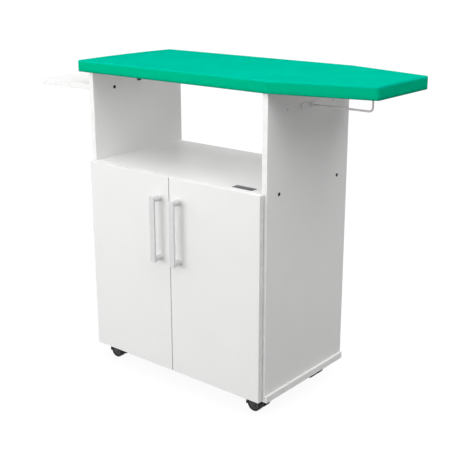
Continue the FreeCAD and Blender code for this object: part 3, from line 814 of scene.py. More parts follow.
class Tree(Graph):
    """A Geometry Nodes tree in the making."""

    def __init__(self, name: str, sizes: Iterable[str]) -> None:
        """Starts a tree with a geometry input and output, named sizes and a finish.

        Args:
            name: The tree's name.
            sizes: The names of the inputs for its sizes.
        """
        super().__init__(bpy.data.node_groups.new(name, "GeometryNodeTree"))
        plan = [("Geometry", "OUTPUT", "Geometry"), ("Geometry", "INPUT", "Geometry")]
        plan += [(size, "INPUT", "Float") for size in sizes] + [("Finish", "INPUT", "Material")]
        for title, way, kind in plan:
            self.tree.interface.new_socket(title, in_out=way, socket_type="NodeSocket" + kind)
        self.named = self.node("NodeGroupInput").outputs
        self.end = self.node("NodeGroupOutput")

    def times(self, value: Socket, factor: float) -> Socket:
        """A value times a number."""
        return self.math("MULTIPLY", value, factor)

    def vector(self, x: object = 0.0, y: object = 0.0, z: object = 0.0) -> Socket:
        """A vector from three sockets or numbers."""
        return self.node("ShaderNodeCombineXYZ", {"X": x, "Y": y, "Z": z}).outputs["Vector"]

    def cone(self, sides: int, bottom: Socket, top: Socket, depth: Socket) -> Socket:
        """A cone that stands on the origin.

        Args:
            sides: How many sides it has.
            bottom: Its lower radius.
            top: Its upper radius.
            depth: Its height.

        Returns:
            Its mesh.
        """
        return self.node("GeometryNodeMeshCone", {
            "Vertices": sides, "Radius Bottom": bottom, "Radius Top": top,
            "Depth": depth}).outputs["Mesh"]

    def cylinder(self, sides: int, radius: Socket, depth: Socket) -> Socket:
        """A cylinder about the origin, of the given sides, radius and height."""
        return self.node("GeometryNodeMeshCylinder", {
            "Vertices": sides, "Radius": radius, "Depth": depth}).outputs["Mesh"]

    def block(self, x: Socket, y: Socket, z: Socket) -> Socket:
        """A block about the origin, of the given sizes."""
        return self.node("GeometryNodeMeshCube", {"Size": self.vector(x, y, z)}).outputs["Mesh"]

    def lifted(self, geometry: Socket, height: object) -> Socket:
        """The geometry, moved up by a height."""
        return self.node("GeometryNodeTransform", {
            "Geometry": geometry, "Translation": self.vector(z=height)}).outputs["Geometry"]

    def boolean(self, operation: str, inputs: dict[str, object]) -> Socket:
        """The mesh that a boolean operation leaves."""
        return self.node("GeometryNodeMeshBoolean", inputs, operation=operation).outputs["Mesh"]

    def planted(self, points: Socket, instance: Socket, facing: Socket, axis: str = "Z") -> Socket:
        """One instance at each point, turned along a direction.

        Args:
            points: The points.
            instance: What stands on them.
            facing: The direction at each point.
            axis: The instance's axis that is laid along it.

        Returns:
            The instances.
        """
        turn = self.node("FunctionNodeAlignRotationToVector", {"Vector": facing}, axis=axis)
        return self.node("GeometryNodeInstanceOnPoints", {
            "Points": points, "Instance": instance,
            "Rotation": turn.outputs["Rotation"]}).outputs["Instances"]

    def at_places(self, instance: Socket) -> Socket:
        """One instance at each point of the start mesh, facing as its points say.

        Args:
            instance: What stands on them.

        Returns:
            The instances.
        """
        facing = self.node("GeometryNodeInputNamedAttribute", {"Name": "facing"},
                           data_type="FLOAT_VECTOR")
        return self.planted(self.named["Geometry"], instance, facing.outputs["Attribute"])

    def finish(self, geometry: Socket, smooth: bool = False) -> bpy.types.NodeTree:
        """Ends the tree in Realize Instances and Set Material.

        Args:
            geometry: The geometry to hand out.
            smooth: Whether its faces are shaded smooth.

        Returns:
            The tree.
        """
        real = self.node("GeometryNodeRealizeInstances", {"Geometry": geometry})
        shade = self.node("GeometryNodeSetShadeSmooth",
                          {"Geometry": real.outputs["Geometry"], "Shade Smooth": smooth})
        painted = self.node("GeometryNodeSetMaterial", {"Geometry": shade.outputs["Geometry"],
                                                        "Material": self.named["Finish"]})
        self.plug(painted.outputs["Geometry"], self.end.inputs["Geometry"])
        return self.tree


def facing_points(name: str, points: Sequence[Sequence[float]],
                  facings: Sequence[Sequence[float]]) -> bpy.types.Mesh:
    """A mesh of loose points, each with the direction that it faces.

    Args:
        name: The mesh's name.
        points: The points.
        facings: Their directions.

    Returns:
        The mesh.
    """
    mesh = bpy.data.meshes.new(name)
    mesh.from_pydata([tuple(point) for point in points], [], [])
    facing = mesh.attributes.new("facing", "FLOAT_VECTOR", "POINT")
    facing.data.foreach_set("vector", [v for way in facings for v in way])
    return mesh


def grown(name: str, mesh: bpy.types.Mesh, tree: bpy.types.NodeTree,
          values: dict[str, object]) -> bpy.types.Object:
    """Runs a Geometry Nodes tree on a mesh and keeps the result as a plain mesh.

    Args:
        name: The piece's name.
        mesh: The mesh that the tree starts from.
        tree: The tree.
        values: The values of its named inputs.

    Returns:
        The new object.
    """
    made = linked(name, mesh)
    modifier = made.modifiers.new(tree.name, "NODES")
    modifier.node_group = tree
    for item in tree.interface.items_tree:
        if item.item_type == "SOCKET" and item.in_out == "INPUT" and item.name in values:
            modifier[item.identifier] = values[item.name]
    return baked(made)


@dataclass
class ScrewMaker:
    """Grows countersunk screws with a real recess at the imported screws' places.

    The shares are of the head's radius. The cross's arms are shares of the recess's radius, the
    cutter's height is one of its depth, and the rim and the tip are shares of their wide ends.
    """

    shares: dict[str, float] = field(default_factory=lambda: {
        "Head Radius": 1.0, "Head Height": 0.55, "Shank Radius": 0.52, "Recess Depth": 0.42,
        "Recess Radius": 0.5})
    proud: float = 0.15 * MM
    rim_share: float = 0.88
    tip_share: float = 0.3
    cross_thin: float = 0.42
    cross_wide: float = 2.0
    cutter_height: float = 3.0
    head_sides: int = 40
    trees: dict[Recess, bpy.types.NodeTree] = field(default_factory=dict)

    def tree(self, recess: Recess) -> bpy.types.NodeTree:
        """Builds the tree that grows one screw at each point.

        Args:
            recess: The drive in the head.

        Returns:
            The tree, made once for each drive.
        """
        if recess in self.trees:
            return self.trees[recess]
        tree = Tree("screws_with_" + recess.value, [*self.shares, "Length", "Proud"])
        head, shank, hole = (tree.named[size + " Radius"] for size in ("Head", "Shank", "Recess"))
        height, length, deep = (tree.named[n] for n in ("Head Height", "Length", "Recess Depth"))
        below = tree.times(height, -1.0)
        body = tree.boolean("UNION", {"Mesh 2": [
            tree.lifted(tree.cone(self.head_sides, shank, head, height), below),
            tree.lifted(tree.cone(self.head_sides, head, tree.times(head, self.rim_share),
                                  tree.named["Proud"]), 0.0),
            tree.lifted(tree.cone(self.head_sides // 2, tree.times(shank, self.tip_share), shank,
                                  length), tree.math("SUBTRACT", below, length))]})
        tall = tree.times(deep, self.cutter_height)
        if recess is Recess.HEXAGON:
            cutters = [tree.cylinder(6, hole, tall)]
        else:
            thin, wide = tree.times(hole, self.cross_thin), tree.times(hole, self.cross_wide)
            cutters = [tree.block(wide, thin, tall), tree.block(thin, wide, tall)]
        centre = tree.math("ADD", tree.times(deep, -1.0), tree.times(tall, 0.5))
        cut = tree.boolean("DIFFERENCE", {
            "Mesh 1": body, "Mesh 2": [tree.lifted(cutter, centre) for cutter in cutters]})
        self.trees[recess] = tree.finish(tree.at_places(cut))
        return self.trees[recess]

    def grow(self, node: str, recess: Recess, body: str, slot: str,
             finish: bpy.types.Material) -> None:
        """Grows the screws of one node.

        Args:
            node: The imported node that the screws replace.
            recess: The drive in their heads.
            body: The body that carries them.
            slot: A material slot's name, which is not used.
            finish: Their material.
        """
        sites = screw_sites(node)
        name = node + "_grown"
        mesh = facing_points(name + "_places", [site.head for site in sites],
                             [site.outward for site in sites])
        radius = min(site.head_radius for site in sites)
        values = {size: radius * share for size, share in self.shares.items()}
        values["Length"] = min(site.length for site in sites) - values["Head Height"]
        values.update({"Proud": self.proud, "Finish": finish})
        settle(grown(name, mesh, self.tree(recess), values), body, [node])


@dataclass
class Boards:
    """The laminated boards with their edge tape, the thin back and the shelf's pins."""

    finishes: Finishes
    tape_proud: float = 0.22 * MM
    corner: float = 1.0 * MM
    overlap: float = 0.25 * MM
    taped: dict[str, tuple[Side, ...]] = field(default_factory=lambda: {
        "left_side_panel": (Side.FRONT, Side.BACK),
        "right_side_panel": (Side.FRONT, Side.BACK),
        "niche_shelf": (Side.FRONT, Side.BACK),
        "inner_shelf": (Side.FRONT,),
        "base_panel": (Side.FRONT, Side.BACK, Side.LEFT, Side.RIGHT),
        "iron_rest_shelf": (Side.FRONT, Side.BACK, Side.LEFT),
        "left_door": (Side.LEFT, Side.RIGHT, Side.TOP, Side.BOTTOM),
        "right_door": (Side.LEFT, Side.RIGHT, Side.TOP, Side.BOTTOM),
    })

    def tape_strip(self, shape: bmesh.types.BMesh, low: Vector, high: Vector, side: Side) -> None:
        """Adds one strip of tape to a mesh, with its long edges bevelled down to the board.

        Args:
            shape: The mesh that the strip goes into.
            low: The board's lowest corner.
            high: The board's highest corner.
            side: The edge that the strip covers.
        """
        out = Vector(side.value)
        run = max(range(3), key=lambda k: abs(out[k]))
        thin, long = sorted((k for k in range(3) if k != run), key=lambda k: high[k] - low[k])
        face = high[run] if out[run] > 0 else low[run]
        rings = []
        for level, inset in ((face - out[run] * self.overlap, 0.0),
                             (face + out[run] * self.tape_proud, self.overlap)):
            gap = self.corner - self.overlap + inset
            ring = []
            for ends in ((0, 0), (1, 0), (1, 1), (0, 1)):
                point = Vector((0.0, 0.0, 0.0))
                point[run] = level
                for axis, end in zip((thin, long), ends):
                    point[axis] = high[axis] - gap if end else low[axis] + gap
                ring.append(shape.verts.new(point))
            shape.faces.new(ring)
            rings.append(ring)
        under, over = rings
        for k in range(4):
            shape.faces.new((under[k], under[k - 1], over[k - 1], over[k]))

    def tape(self, board: str) -> None:
        """Tapes the open edges of one board.

        Args:
            board: The board's node.
        """
        shape = bmesh.new()
        for side in self.taped[board]:
            self.tape_strip(shape, *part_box(board), side)
        bmesh.ops.recalc_face_normals(shape, faces=shape.faces)
        name = board + "_edge_tape"
        made = mesh_object(name, drawn(name, shape), self.finishes.tape, False)
        settle(made, board if board.endswith("door") else CABINET)

    def build(self) -> None:
        """Dresses the boards and tapes their edges."""
        dress(self.taped, self.finishes.laminate)
        for board in self.taped:
            self.tape(board)
        low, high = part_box("back_panel")
        dress(["back_panel"], Hardboard((low.y + high.y) / 2).build())
        dress(["board_core"], self.finishes.laminate)
        dress(["shelf_pins"], self.finishes.nickel)


@dataclass
class Outline:
    """A convex outline seen from above, with its corners in anticlockwise order.

    Points are drawn in side by side, so a few passes bring them clear of every side.
    """

    corners: np.ndarray
    passes: int = 6

    @classmethod
    def of_node(cls, node: str) -> "Outline":
        """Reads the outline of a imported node.

        Args:
            node: The node's name.

        Returns:
            Its outline.
        """
        points = [Vector((v.co.x, v.co.y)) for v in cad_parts[node].data.vertices]
        ring = np.array([points[k] for k in convex_hull_2d(points)])
        after = np.roll(ring, -1, axis=0)
        ring = ring[np.hypot(*(after - ring).T) > WELD]
        after = np.roll(ring, -1, axis=0)
        area = (ring[:, 0] * after[:, 1] - ring[:, 1] * after[:, 0]).sum()
        return cls(ring if area > 0 else ring[::-1])

    @property
    def runs(self) -> np.ndarray:
        """Each side's way from its corner to the next."""
        return np.roll(self.corners, -1, axis=0) - self.corners

    @property
    def outward(self) -> np.ndarray:
        """Each side's unit normal."""
        x, y = self.runs.T
        return np.stack([y, -x], axis=1) / np.hypot(x, y)[:, None]

    def depths(self, points: np.ndarray) -> tuple[np.ndarray, np.ndarray]:
        """How far inside the outline points lie.

        Args:
            points: The points in rows, of which only X and Y count.

        Returns:
            Each point's depth, and the nearest side's outward direction.
        """
        out = self.outward
        gaps = (out * self.corners).sum(axis=1)[None, :] - points[:, :2] @ out.T
        near = gaps.argmin(axis=1)
        return gaps[np.arange(len(points)), near], out[near]

    def drawn_in(self, points: np.ndarray, depth: float) -> np.ndarray:
        """The nearest places that lie at least a depth inside the outline.

        Args:
            points: The points in rows, of which only X and Y count.
            depth: The least depth.

        Returns:
            A place in X and Y for each point.
        """
        moved = points[:, :2].copy()
        for _ in range(self.passes):
            gap, out = self.depths(moved)
            moved -= out * np.maximum(0.0, depth - gap)[:, None]
        return moved

    def turns(self, reach: float) -> np.ndarray:
        """The middles of the places where the outline turns.

        Args:
            reach: The longest side that still belongs to a turn.

        Returns:
            The places in rows.
        """
        count = len(self.corners)
        long = np.flatnonzero(np.hypot(*self.runs.T) > reach)
        members = [[(before + 1 + k) % count for k in range((after - before) % count)]
                   for before, after in zip(long, np.roll(long, -1))]
        return np.array([self.corners[turn].mean(axis=0) for turn in members])

    def path(self, inset: float, height: float, pitch: float) -> np.ndarray:
        """A closed path of even steps inside the outline.

        Args:
            inset: How far inside the outline it runs.
            height: Its height.
            pitch: About how long its steps are.

        Returns:
            The path's points in rows.
        """
        ring = np.vstack([self.corners, self.corners[:1]])
        reach = np.concatenate([[0.0], np.cumsum(np.hypot(*np.diff(ring, axis=0).T))])
        spots = np.linspace(0.0, reach[-1], max(3, round(reach[-1] / pitch)), endpoint=False)
        flat = np.stack([np.interp(spots, reach, ring[:, k]) for k in (0, 1)], axis=1)
        flat = self.drawn_in(flat, inset)
        kept = np.hypot(*(flat - np.roll(flat, 1, axis=0)).T) > pitch / 4
        return np.column_stack([flat[kept], np.full(kept.sum(), height)])


@dataclass
class IroningTop:
    """The padded cotton top: a simulated cover over the foam, its turned hem, stitches, staples."""

    finishes: Finishes
    voxel: float = 5.0 * MM
    # The simulated cloth: how far it starts inside the form, how far it may move, and its stuff
    slack: float = 0.9 * MM
    cap: float = 2.2 * MM
    frames: int = 20
    quality: int = 5
    mass: float = 0.25
    stiffness: float = 18.0
    shear_stiffness: float = 8.0
    bending_stiffness: float = 2.0
    pressure: float = 4.0
    # The cover's top: the depth of its core, and its swell
    core: float = 12.0 * MM
    swell: float = 0.4 * MM
    swell_share: float = 0.5
    swell_waves: float = 8.0
    swell_layer: float = 4.0
    settle_in: float = 0.12 * MM
    # Its sides: how flat the way out to them lies, their puckers, and the folds at the corners
    side_rise: float = 0.2
    pucker: float = 0.3 * MM
    pucker_waves: Point = (30.0, 30.0, 8.0)
    pucker_loss: float = 0.2
    fold_place: float = 7.0 * MM
    fold_width: float = 2.4 * MM
    fold_depth: float = 0.95 * MM
    fold_least: float = 0.3
    turn_reach: float = 12.0 * MM
    # Its lower edge: the band that is drawn in under the top, and the hem
    under_band: float = 1.2 * MM
    under_slope: float = -0.7
    edge_draw: float = 1.6 * MM
    edge_least: float = 0.5 * MM
    hem_width: float = 5.0 * MM
    hem_radius: float = 1.0 * MM
    hem_inset_share: float = 0.9
    hem_pitch: float = 2.5 * MM
    hem_resolution: int = 3
    hem_play: float = 0.05 * MM
    wall: float = 0.9 * MM
    # Its stitches and staples, as bars along a path
    bar_sides: int = 6
    stitch_path: float = 2.0 * MM
    stitch_height: float = 4.6 * MM
    stitch_proud: float = 0.05 * MM
    stitches: dict[str, float] = field(default_factory=lambda: {
        "Pitch": 4.2 * MM, "Length": 2.9 * MM, "Radius": 0.22 * MM})
    staple_path: float = 8.0 * MM
    staple_inset_share: float = 0.62
    staple_drop: float = 0.2 * MM
    staples: dict[str, float] = field(default_factory=lambda: {
        "Pitch": 38.0 * MM, "Length": 10.0 * MM, "Radius": 0.3 * MM})

    @property
    def lower_edge(self) -> float:
        """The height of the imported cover's lower edge."""
        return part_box("ironing_cover")[0].z

    def closed_form(self) -> bmesh.types.BMesh:
        """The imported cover's closed outer form.

        Returns:
            A new bmesh, which the caller frees.
        """
        shape = welded("ironing_cover")
        hull = bmesh.ops.convex_hull(shape, input=shape.verts)
        spare = {part for part in hull["geom_interior"] + hull["geom_unused"]
                 if isinstance(part, bmesh.types.BMVert)}
        bmesh.ops.delete(shape, geom=list(spare), context="VERTS")
        bmesh.ops.recalc_face_normals(shape, faces=shape.faces)
        return shape

    def start_mesh(self) -> bpy.types.Mesh:
        """The closed form, slightly smaller, for the cloth to start from.

        Returns:
            Its mesh.
        """
        shape = self.closed_form()
        low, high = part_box("ironing_cover")
        half, centre = (high - low) / 2, (low + high) / 2
        for vert in shape.verts:
            away = vert.co - centre
            vert.co.x -= self.slack * away.x / half.x
            vert.co.y -= self.slack * away.y / half.y
            vert.co.z -= self.slack * max(0.0, away.z / half.z)
        return drawn("cover_start", shape)

    def inflated(self, start: bpy.types.Object) -> None:
        """Blows the cover up as cloth, with its hem held and its points kept near the start.

        Args:
            start: The remeshed cover, whose mesh is replaced by the result.
        """
        before = [vert.co.copy() for vert in start.data.vertices]
        held = start.vertex_groups.new(name="hem")
        top = self.lower_edge + self.voxel
        held.add([vert.index for vert in start.data.vertices if vert.co.z < top], 1.0, "REPLACE")
        cloth = start.modifiers.new("cloth", "CLOTH")
        for name, value in (
                ("quality", self.quality), ("mass", self.mass),
                ("tension_stiffness", self.stiffness), ("compression_stiffness", self.stiffness),
                ("shear_stiffness", self.shear_stiffness),
                ("bending_stiffness", self.bending_stiffness), ("use_pressure", True),
                ("uniform_pressure_force", self.pressure), ("vertex_group_mass", "hem")):
            setattr(cloth.settings, name, value)
        cloth.settings.effector_weights.gravity = 0.0
        cloth.collision_settings.use_collision = False
        cloth.point_cache.frame_start, cloth.point_cache.frame_end = 1, self.frames
        for step in range(1, self.frames + 1):
            bpy.context.scene.frame_set(step)
        result = evaluated(start)
        start.modifiers.clear()
        bpy.context.scene.frame_set(1)
        for vert, old in zip(result.vertices, before):
            step = vert.co - old
            if step.length > self.cap:
                vert.co = old + step * (self.cap / step.length)
        start.data = result

    def edged(self, places: np.ndarray, outline: Outline) -> np.ndarray:
        """Draws the cloth's lowest band in under the top.

        Args:
            places: The cloth's points in rows, which are changed.
            outline: The cover's outline seen from above.

        Returns:
            Which points lie in the band.
        """
        depth, out = outline.depths(places)
        bottom = places[:, 2] < self.lower_edge + self.under_band
        near = bottom & (depth < self.hem_width + self.edge_draw)
        shift = depth - np.maximum(self.edge_least, depth - self.edge_draw)
        places[near, :2] += out[near] * shift[near, None]
        places[bottom, 2] = self.lower_edge - self.wall - self.hem_play
        return bottom

    def lift(self, here: Vector, way: Vector, rise: float, fall: float, depth: float,
             crease: float) -> float:
        """How far the cloth stands off the pad's form at one point.

        Args:
            here: The point.
            way: The direction from the pad's core to it.
            rise: How far the point lies outside the form.
            fall: How far down the side it lies, from 0 to 1.
            depth: How far inside the outline it lies.
            crease: How deep a corner's fold is there.

        Returns:
            The distance along the way, under zero where the cloth sinks in.
        """
        if way.z < self.side_rise:
            wave = noise.noise(Vector(a * b for a, b in zip(here, self.pucker_waves)))
            puckered = self.pucker * (wave * fall - abs(wave) * self.pucker_loss)
            folded = crease * (self.fold_least + (1 - self.fold_least) * fall)
            return puckered - self.settle_in - folded
        broad = noise.noise(Vector((here.x * self.swell_waves, here.y * self.swell_waves,
                                    self.swell_layer)))
        free = min(1.0, max(0.0, (depth - self.core) / (2 * self.core)))
        swell = max(-self.swell, min(self.swell, rise * self.swell_share))
        return free * (swell + self.pucker * broad) - self.settle_in

    def laid(self, mesh: bpy.types.Mesh, outline: Outline) -> None:
        """Draws the cloth over the pad's form: tight at the shoulder and the sides, softly swollen
        on top, folded beside the corners, and puckered towards the hem, which is turned under.

        Args:
            mesh: The cover's mesh.
            outline: Its outline seen from above.
        """
        form = self.closed_form()
        skin = BVHTree.FromBMesh(form)
        form.free()
        low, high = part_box("ironing_cover")
        places = np.empty(len(mesh.vertices) * 3)
        mesh.vertices.foreach_get("co", places)
        places = places.reshape(-1, 3)
        depth = outline.depths(places)[0]
        top = high.z - self.core
        cores = np.column_stack([outline.drawn_in(places, self.core),
                                 np.minimum(places[:, 2], top)])
        corners = outline.turns(self.turn_reach)
        reach = np.hypot(*(places[:, None, :2] - corners[None]).transpose(2, 0, 1)).min(axis=1)
        crease = self.fold_depth * np.exp(-((reach - self.fold_place) / self.fold_width) ** 2)
        bottom = self.edged(places, outline)
        for k in np.flatnonzero(~bottom):
            core, here = Vector(cores[k]), Vector(places[k])
            way = (here - core).normalized()
            hit = skin.ray_cast(core, way)[0]
            if hit is not None:
                rise = (here - core).length - (hit - core).length
                fall = max(0.0, (top - here.z) / (top - low.z))
                places[k] = hit + way * self.lift(here, way, rise, fall, depth[k], crease[k])
        mesh.vertices.foreach_set("co", places.ravel())
        mesh.update()

    def opened(self, mesh: bpy.types.Mesh, outline: Outline) -> None:
        """Cuts the cover open underneath, inside its hem.

        Args:
            mesh: The cover's mesh.
            outline: Its outline seen from above.
        """
        shape = bmesh.new()
        shape.from_mesh(mesh)
        under = [face for face in shape.faces if face.normal.z < self.under_slope]
        middles = np.array([face.calc_center_median() for face in under])
        spare = outline.depths(middles)[0] > self.hem_width
        bmesh.ops.delete(shape, geom=[f for f, cut in zip(under, spare) if cut], context="FACES")
        shape.to_mesh(mesh)
        shape.free()

    def cover(self, outline: Outline) -> bpy.types.Object:
        """Args:
            outline: Its outline seen from above.

        Returns:
            The finished piece.
        """
        made = mesh_object("cotton_cover", self.start_mesh(), self.finishes.cotton)
        remesh = made.modifiers.new("remesh", "REMESH")
        remesh.mode = "VOXEL"
        remesh.voxel_size = self.voxel
        baked(made)
        self.inflated(made)
        finer = made.modifiers.new("smooth", "SUBSURF")
        finer.levels = finer.render_levels = 1
        baked(made)
        self.laid(made.data, outline)
        self.opened(made.data, outline)
        cloth = made.modifiers.new("cloth", "SOLIDIFY")
        cloth.thickness, cloth.offset = self.wall, -1.0
        baked(made)
        coat(made.data, self.finishes.cotton)
        smoothed(made.data)
        settle(made, replaced=["ironing_cover", "foam_pad"])
        return made

    def binding(self, outline: Outline) -> None:
        """The rolled hem along the cover's lower edge.

        Args:
            outline: The cover's outline.
        """
        path = outline.path(self.hem_radius * self.hem_inset_share,
                            self.lower_edge - self.wall / 2, self.hem_pitch)
        curve = bpy.data.curves.new("hem_binding", "CURVE")
        curve.dimensions = "3D"
        curve.bevel_depth, curve.bevel_resolution = self.hem_radius, self.hem_resolution
        spline = curve.splines.new("POLY")
        spline.points.add(len(path) - 1)
        for place, point in zip(spline.points, path):
            place.co = (*point, 1.0)
        spline.use_cyclic_u = True
        holder = linked("hem_curve", curve)
        bpy.context.view_layer.update()
        mesh = evaluated(holder)
        bpy.data.objects.remove(holder)
        # The binding's darker green is partly painted shade along the cover's lower edge
        settle(mesh_object("hem_binding", mesh, self.finishes.binding))

    def row(self, name: str, path: Sequence[Sequence[float]], sizes: dict[str, float],
            finish: bpy.types.Material) -> None:
        """Small rounded bars in a row along a closed path, such as stitches or staples.

        Args:
            name: The piece's name.
            path: The path's points.
            sizes: The bars' pitch, length and radius.
            finish: The bars' material.
        """
        tree = Tree(name + "_row", sizes)
        line = tree.node("GeometryNodeMeshToCurve", {"Mesh": tree.named["Geometry"]})
        steps = tree.node("GeometryNodeCurveToPoints", {
            "Curve": line.outputs["Curve"], "Length": tree.named["Pitch"]}, mode="LENGTH").outputs
        bar = tree.cylinder(self.bar_sides, tree.named["Radius"], tree.named["Length"])
        whole = tree.finish(tree.planted(steps["Points"], bar, steps["Tangent"]), True)
        mesh = bpy.data.meshes.new(name + "_path")
        edges = [(k, (k + 1) % len(path)) for k in range(len(path))]
        mesh.from_pydata([tuple(point) for point in path], edges, [])
        settle(grown(name, mesh, whole, {**sizes, "Finish": finish}))

    def build(self) -> None:
        """Builds the cover, its hem, its stitches and its staples."""
        outline = Outline.of_node("ironing_cover")
        cover = self.cover(outline)
        self.binding(outline)
        skin = BVHTree.FromObject(cover, bpy.context.evaluated_depsgraph_get())
        sewn = []
        for point in outline.path(0.0, self.lower_edge + self.stitch_height, self.stitch_path):
            near, out, _, _ = skin.find_nearest(Vector(point))
            sewn.append(near + out * self.stitch_proud)
        self.row("hem_stitches", sewn, self.stitches, self.finishes.binding)
        held = outline.path(self.hem_width * self.staple_inset_share,
                            self.lower_edge - self.wall - self.staple_drop, self.staple_path)
        self.row("hem_staples", held, self.staples, self.finishes.zinc)


@dataclass
class Hardware:
    """Hinges, handles, brackets, rail and every screw."""

    finishes: Finishes
    screws: ScrewMaker = field(default_factory=ScrewMaker)

    def grow_screws(self) -> None:
        """Grows the screws of every screw node but the handles'."""
        dark, zinc = self.finishes.dark_steel, self.finishes.zinc
        for owners, recess, slot, finish in (
                (("carcass", "iron_rest"), Recess.HEXAGON, "dark_steel", dark),
                (("bracket",), Recess.CROSS, "dark_steel", dark),
                (("rail", "caster", "hinge_plate"), Recess.CROSS, "zinc_steel", zinc)):
            for owner in owners:
                self.screws.grow(owner + "_screws", recess, CABINET, slot, finish)
        for side in ("left", "right"):
            self.screws.grow(side + "_cup_screws", Recess.CROSS, side + "_door", "zinc_steel", zinc)

    def build(self) -> None:
        """Dresses the hinges, the rail with its flanges, the brackets and the handles, and grows
        the screws."""
        hinges = [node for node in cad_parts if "hinge_cup" in node or "hinge_arm" in node]
        plated = ["hinge_plates", "left_hinge_pins", "right_hinge_pins"]
        for nodes, finish in (
                (hinges + plated, self.finishes.nickel),
                (["hanger_rail"], self.finishes.wire),
                (["rail_wall_flange", "rail_board_flange"], self.finishes.white_paint),
                (["board_brackets"], self.finishes.dark_steel),
                (["left_handle", "right_handle"], self.finishes.handle),
                (["left_handle_screws", "right_handle_screws"], self.finishes.zinc)):
            dress(nodes, finish)
        self.grow_screws()


@dataclass
class Casters:
    """Four casters: plates, hoods, axles, and wheels with a ribbed disc and a hub cap."""

    finishes: Finishes
    places: tuple[str, ...] = ("front_left", "front_right", "rear_left", "rear_right")
    ribs: int = 7
    disc_sides: int = 64
    cap_sides: int = 48
    cap_share: float = 0.8
    dish_depth: float = 1.8 * MM
    # Shares of the wheel's radius, and fixed sizes
    shares: dict[str, float] = field(default_factory=lambda: {
        "Disc Radius": 0.75, "Hub Radius": 0.3})
    sizes: dict[str, float] = field(default_factory=lambda: {
        "Disc Thickness": 0.5 * MM, "Rib Thickness": 1.3 * MM, "Rib Height": 1.3 * MM,
        "Cap Height": 1.6 * MM})

    def disc_tree(self) -> bpy.types.NodeTree:
        """Builds the tree that grows a ribbed disc and a hub cap at each point.

        Returns:
            The tree.
        """
        tree = Tree("wheel_disc", [*self.shares, *self.sizes])
        wide, hub = (tree.named[end + " Radius"] for end in ("Disc", "Hub"))
        high = tree.named["Rib Height"]
        disc = tree.cylinder(self.disc_sides, wide, tree.named["Disc Thickness"])
        cap = tree.cone(self.cap_sides, hub, tree.times(hub, self.cap_share),
                        tree.named["Cap Height"])
        middle = tree.times(tree.math("ADD", wide, hub), 0.5)
        ring = tree.node("GeometryNodeMeshCircle", {"Vertices": self.ribs, "Radius": middle})
        rib = tree.block(tree.math("SUBTRACT", wide, hub), tree.named["Rib Thickness"], high)
        here = tree.node("GeometryNodeInputPosition").outputs["Position"]
        spokes = tree.planted(ring.outputs["Mesh"], tree.lifted(rib, tree.times(high, 0.5)), here,
                              "X")
        whole = tree.node("GeometryNodeJoinGeometry", {"Geometry": [disc, cap, spokes]})
        return tree.finish(tree.at_places(whole.outputs["Geometry"]))

    def disc(self, node: str, body: str, out: int, tree: bpy.types.NodeTree) -> None:
        """Fits a ribbed disc into a wheel's dish.

        Args:
            node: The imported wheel.
            body: The body that turns with it.
            out: -1 for a wheel whose dish faces the front, 1 for one that faces the back.
            tree: The disc's tree.
        """
        low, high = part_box(node)
        radius = (high.z - low.z) / 2
        face = (high.y if out > 0 else low.y) - out * self.dish_depth
        hub = ((low.x + high.x) / 2, face, (low.z + high.z) / 2)
        mesh = facing_points(node + "_hub", [hub], [(0.0, float(out), 0.0)])
        values = {size: radius * share for size, share in self.shares.items()}
        values.update({**self.sizes, "Finish": self.finishes.disc})
        settle(grown(node + "_disc", mesh, tree, values), body)

    def build(self) -> None:
        """Dresses the casters and fits the discs of their wheels."""
        tree = self.disc_tree()
        for place in self.places:
            caster = place + "_caster_"
            dress([caster + "plate", caster + "axle"], self.finishes.zinc)
            dress([caster + "hood"], self.finishes.hood)
            dress([caster + "front_wheel", caster + "rear_wheel"], self.finishes.wheel)
            for end, out in (("front", -1), ("rear", 1)):
                self.disc(f"{caster}{end}_wheel", f"{place}_{end}_wheel", out, tree)


@dataclass
class BlankPlate:
    """The small dark plate, left bare, that lies near the niche shelf's front edge."""

    finishes: Finishes
    length: float = 61.0 * MM
    width: float = 21.0 * MM
    thickness: float = 0.8 * MM
    corner: float = 1.6 * MM
    corner_steps: int = 5
    rim: float = 0.25 * MM
    rim_steps: int = 2
    from_right: float = 35.0 * MM
    from_front: float = 7.5 * MM

    def build(self) -> None:
        """Builds the plate on the shelf."""
        low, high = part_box("niche_shelf")
        shape = bmesh.new()
        bmesh.ops.create_cube(shape, size=1.0)
        x, y = high.x - self.from_right - self.length / 2, low.y + self.from_front + self.width / 2
        for vert in shape.verts:
            vert.co = Vector((x + vert.co.x * self.length, y + vert.co.y * self.width,
                              high.z + (vert.co.z + 0.5) * self.thickness))
        middle = high.z + self.thickness / 2
        upright = [edge for edge in shape.edges
                   if min(v.co.z for v in edge.verts) < middle < max(v.co.z for v in edge.verts)]
        self.rounded(shape, upright, self.corner, self.corner_steps)
        rim = [edge for edge in shape.edges if all(v.co.z > middle for v in edge.verts)]
        self.rounded(shape, rim, self.rim, self.rim_steps)
        made = mesh_object("blank_plate", drawn("blank_plate", shape), self.finishes.plate)
        settle(made)

    @staticmethod
    def rounded(shape: bmesh.types.BMesh, edges: list[bmesh.types.BMEdge], offset: float,
                steps: int) -> None:
        """Rounds some edges of a shape by an offset, in a number of steps."""
        bmesh.ops.bevel(shape, geom=edges, offset=offset, segments=steps, profile=0.5,
                        affect="EDGES")


@dataclass(frozen=True)
class Lamp:
    """A square soft lamp: where it hangs, how wide it is and its power in watts."""

    name: str
    place: Point
    size: float
    power: float


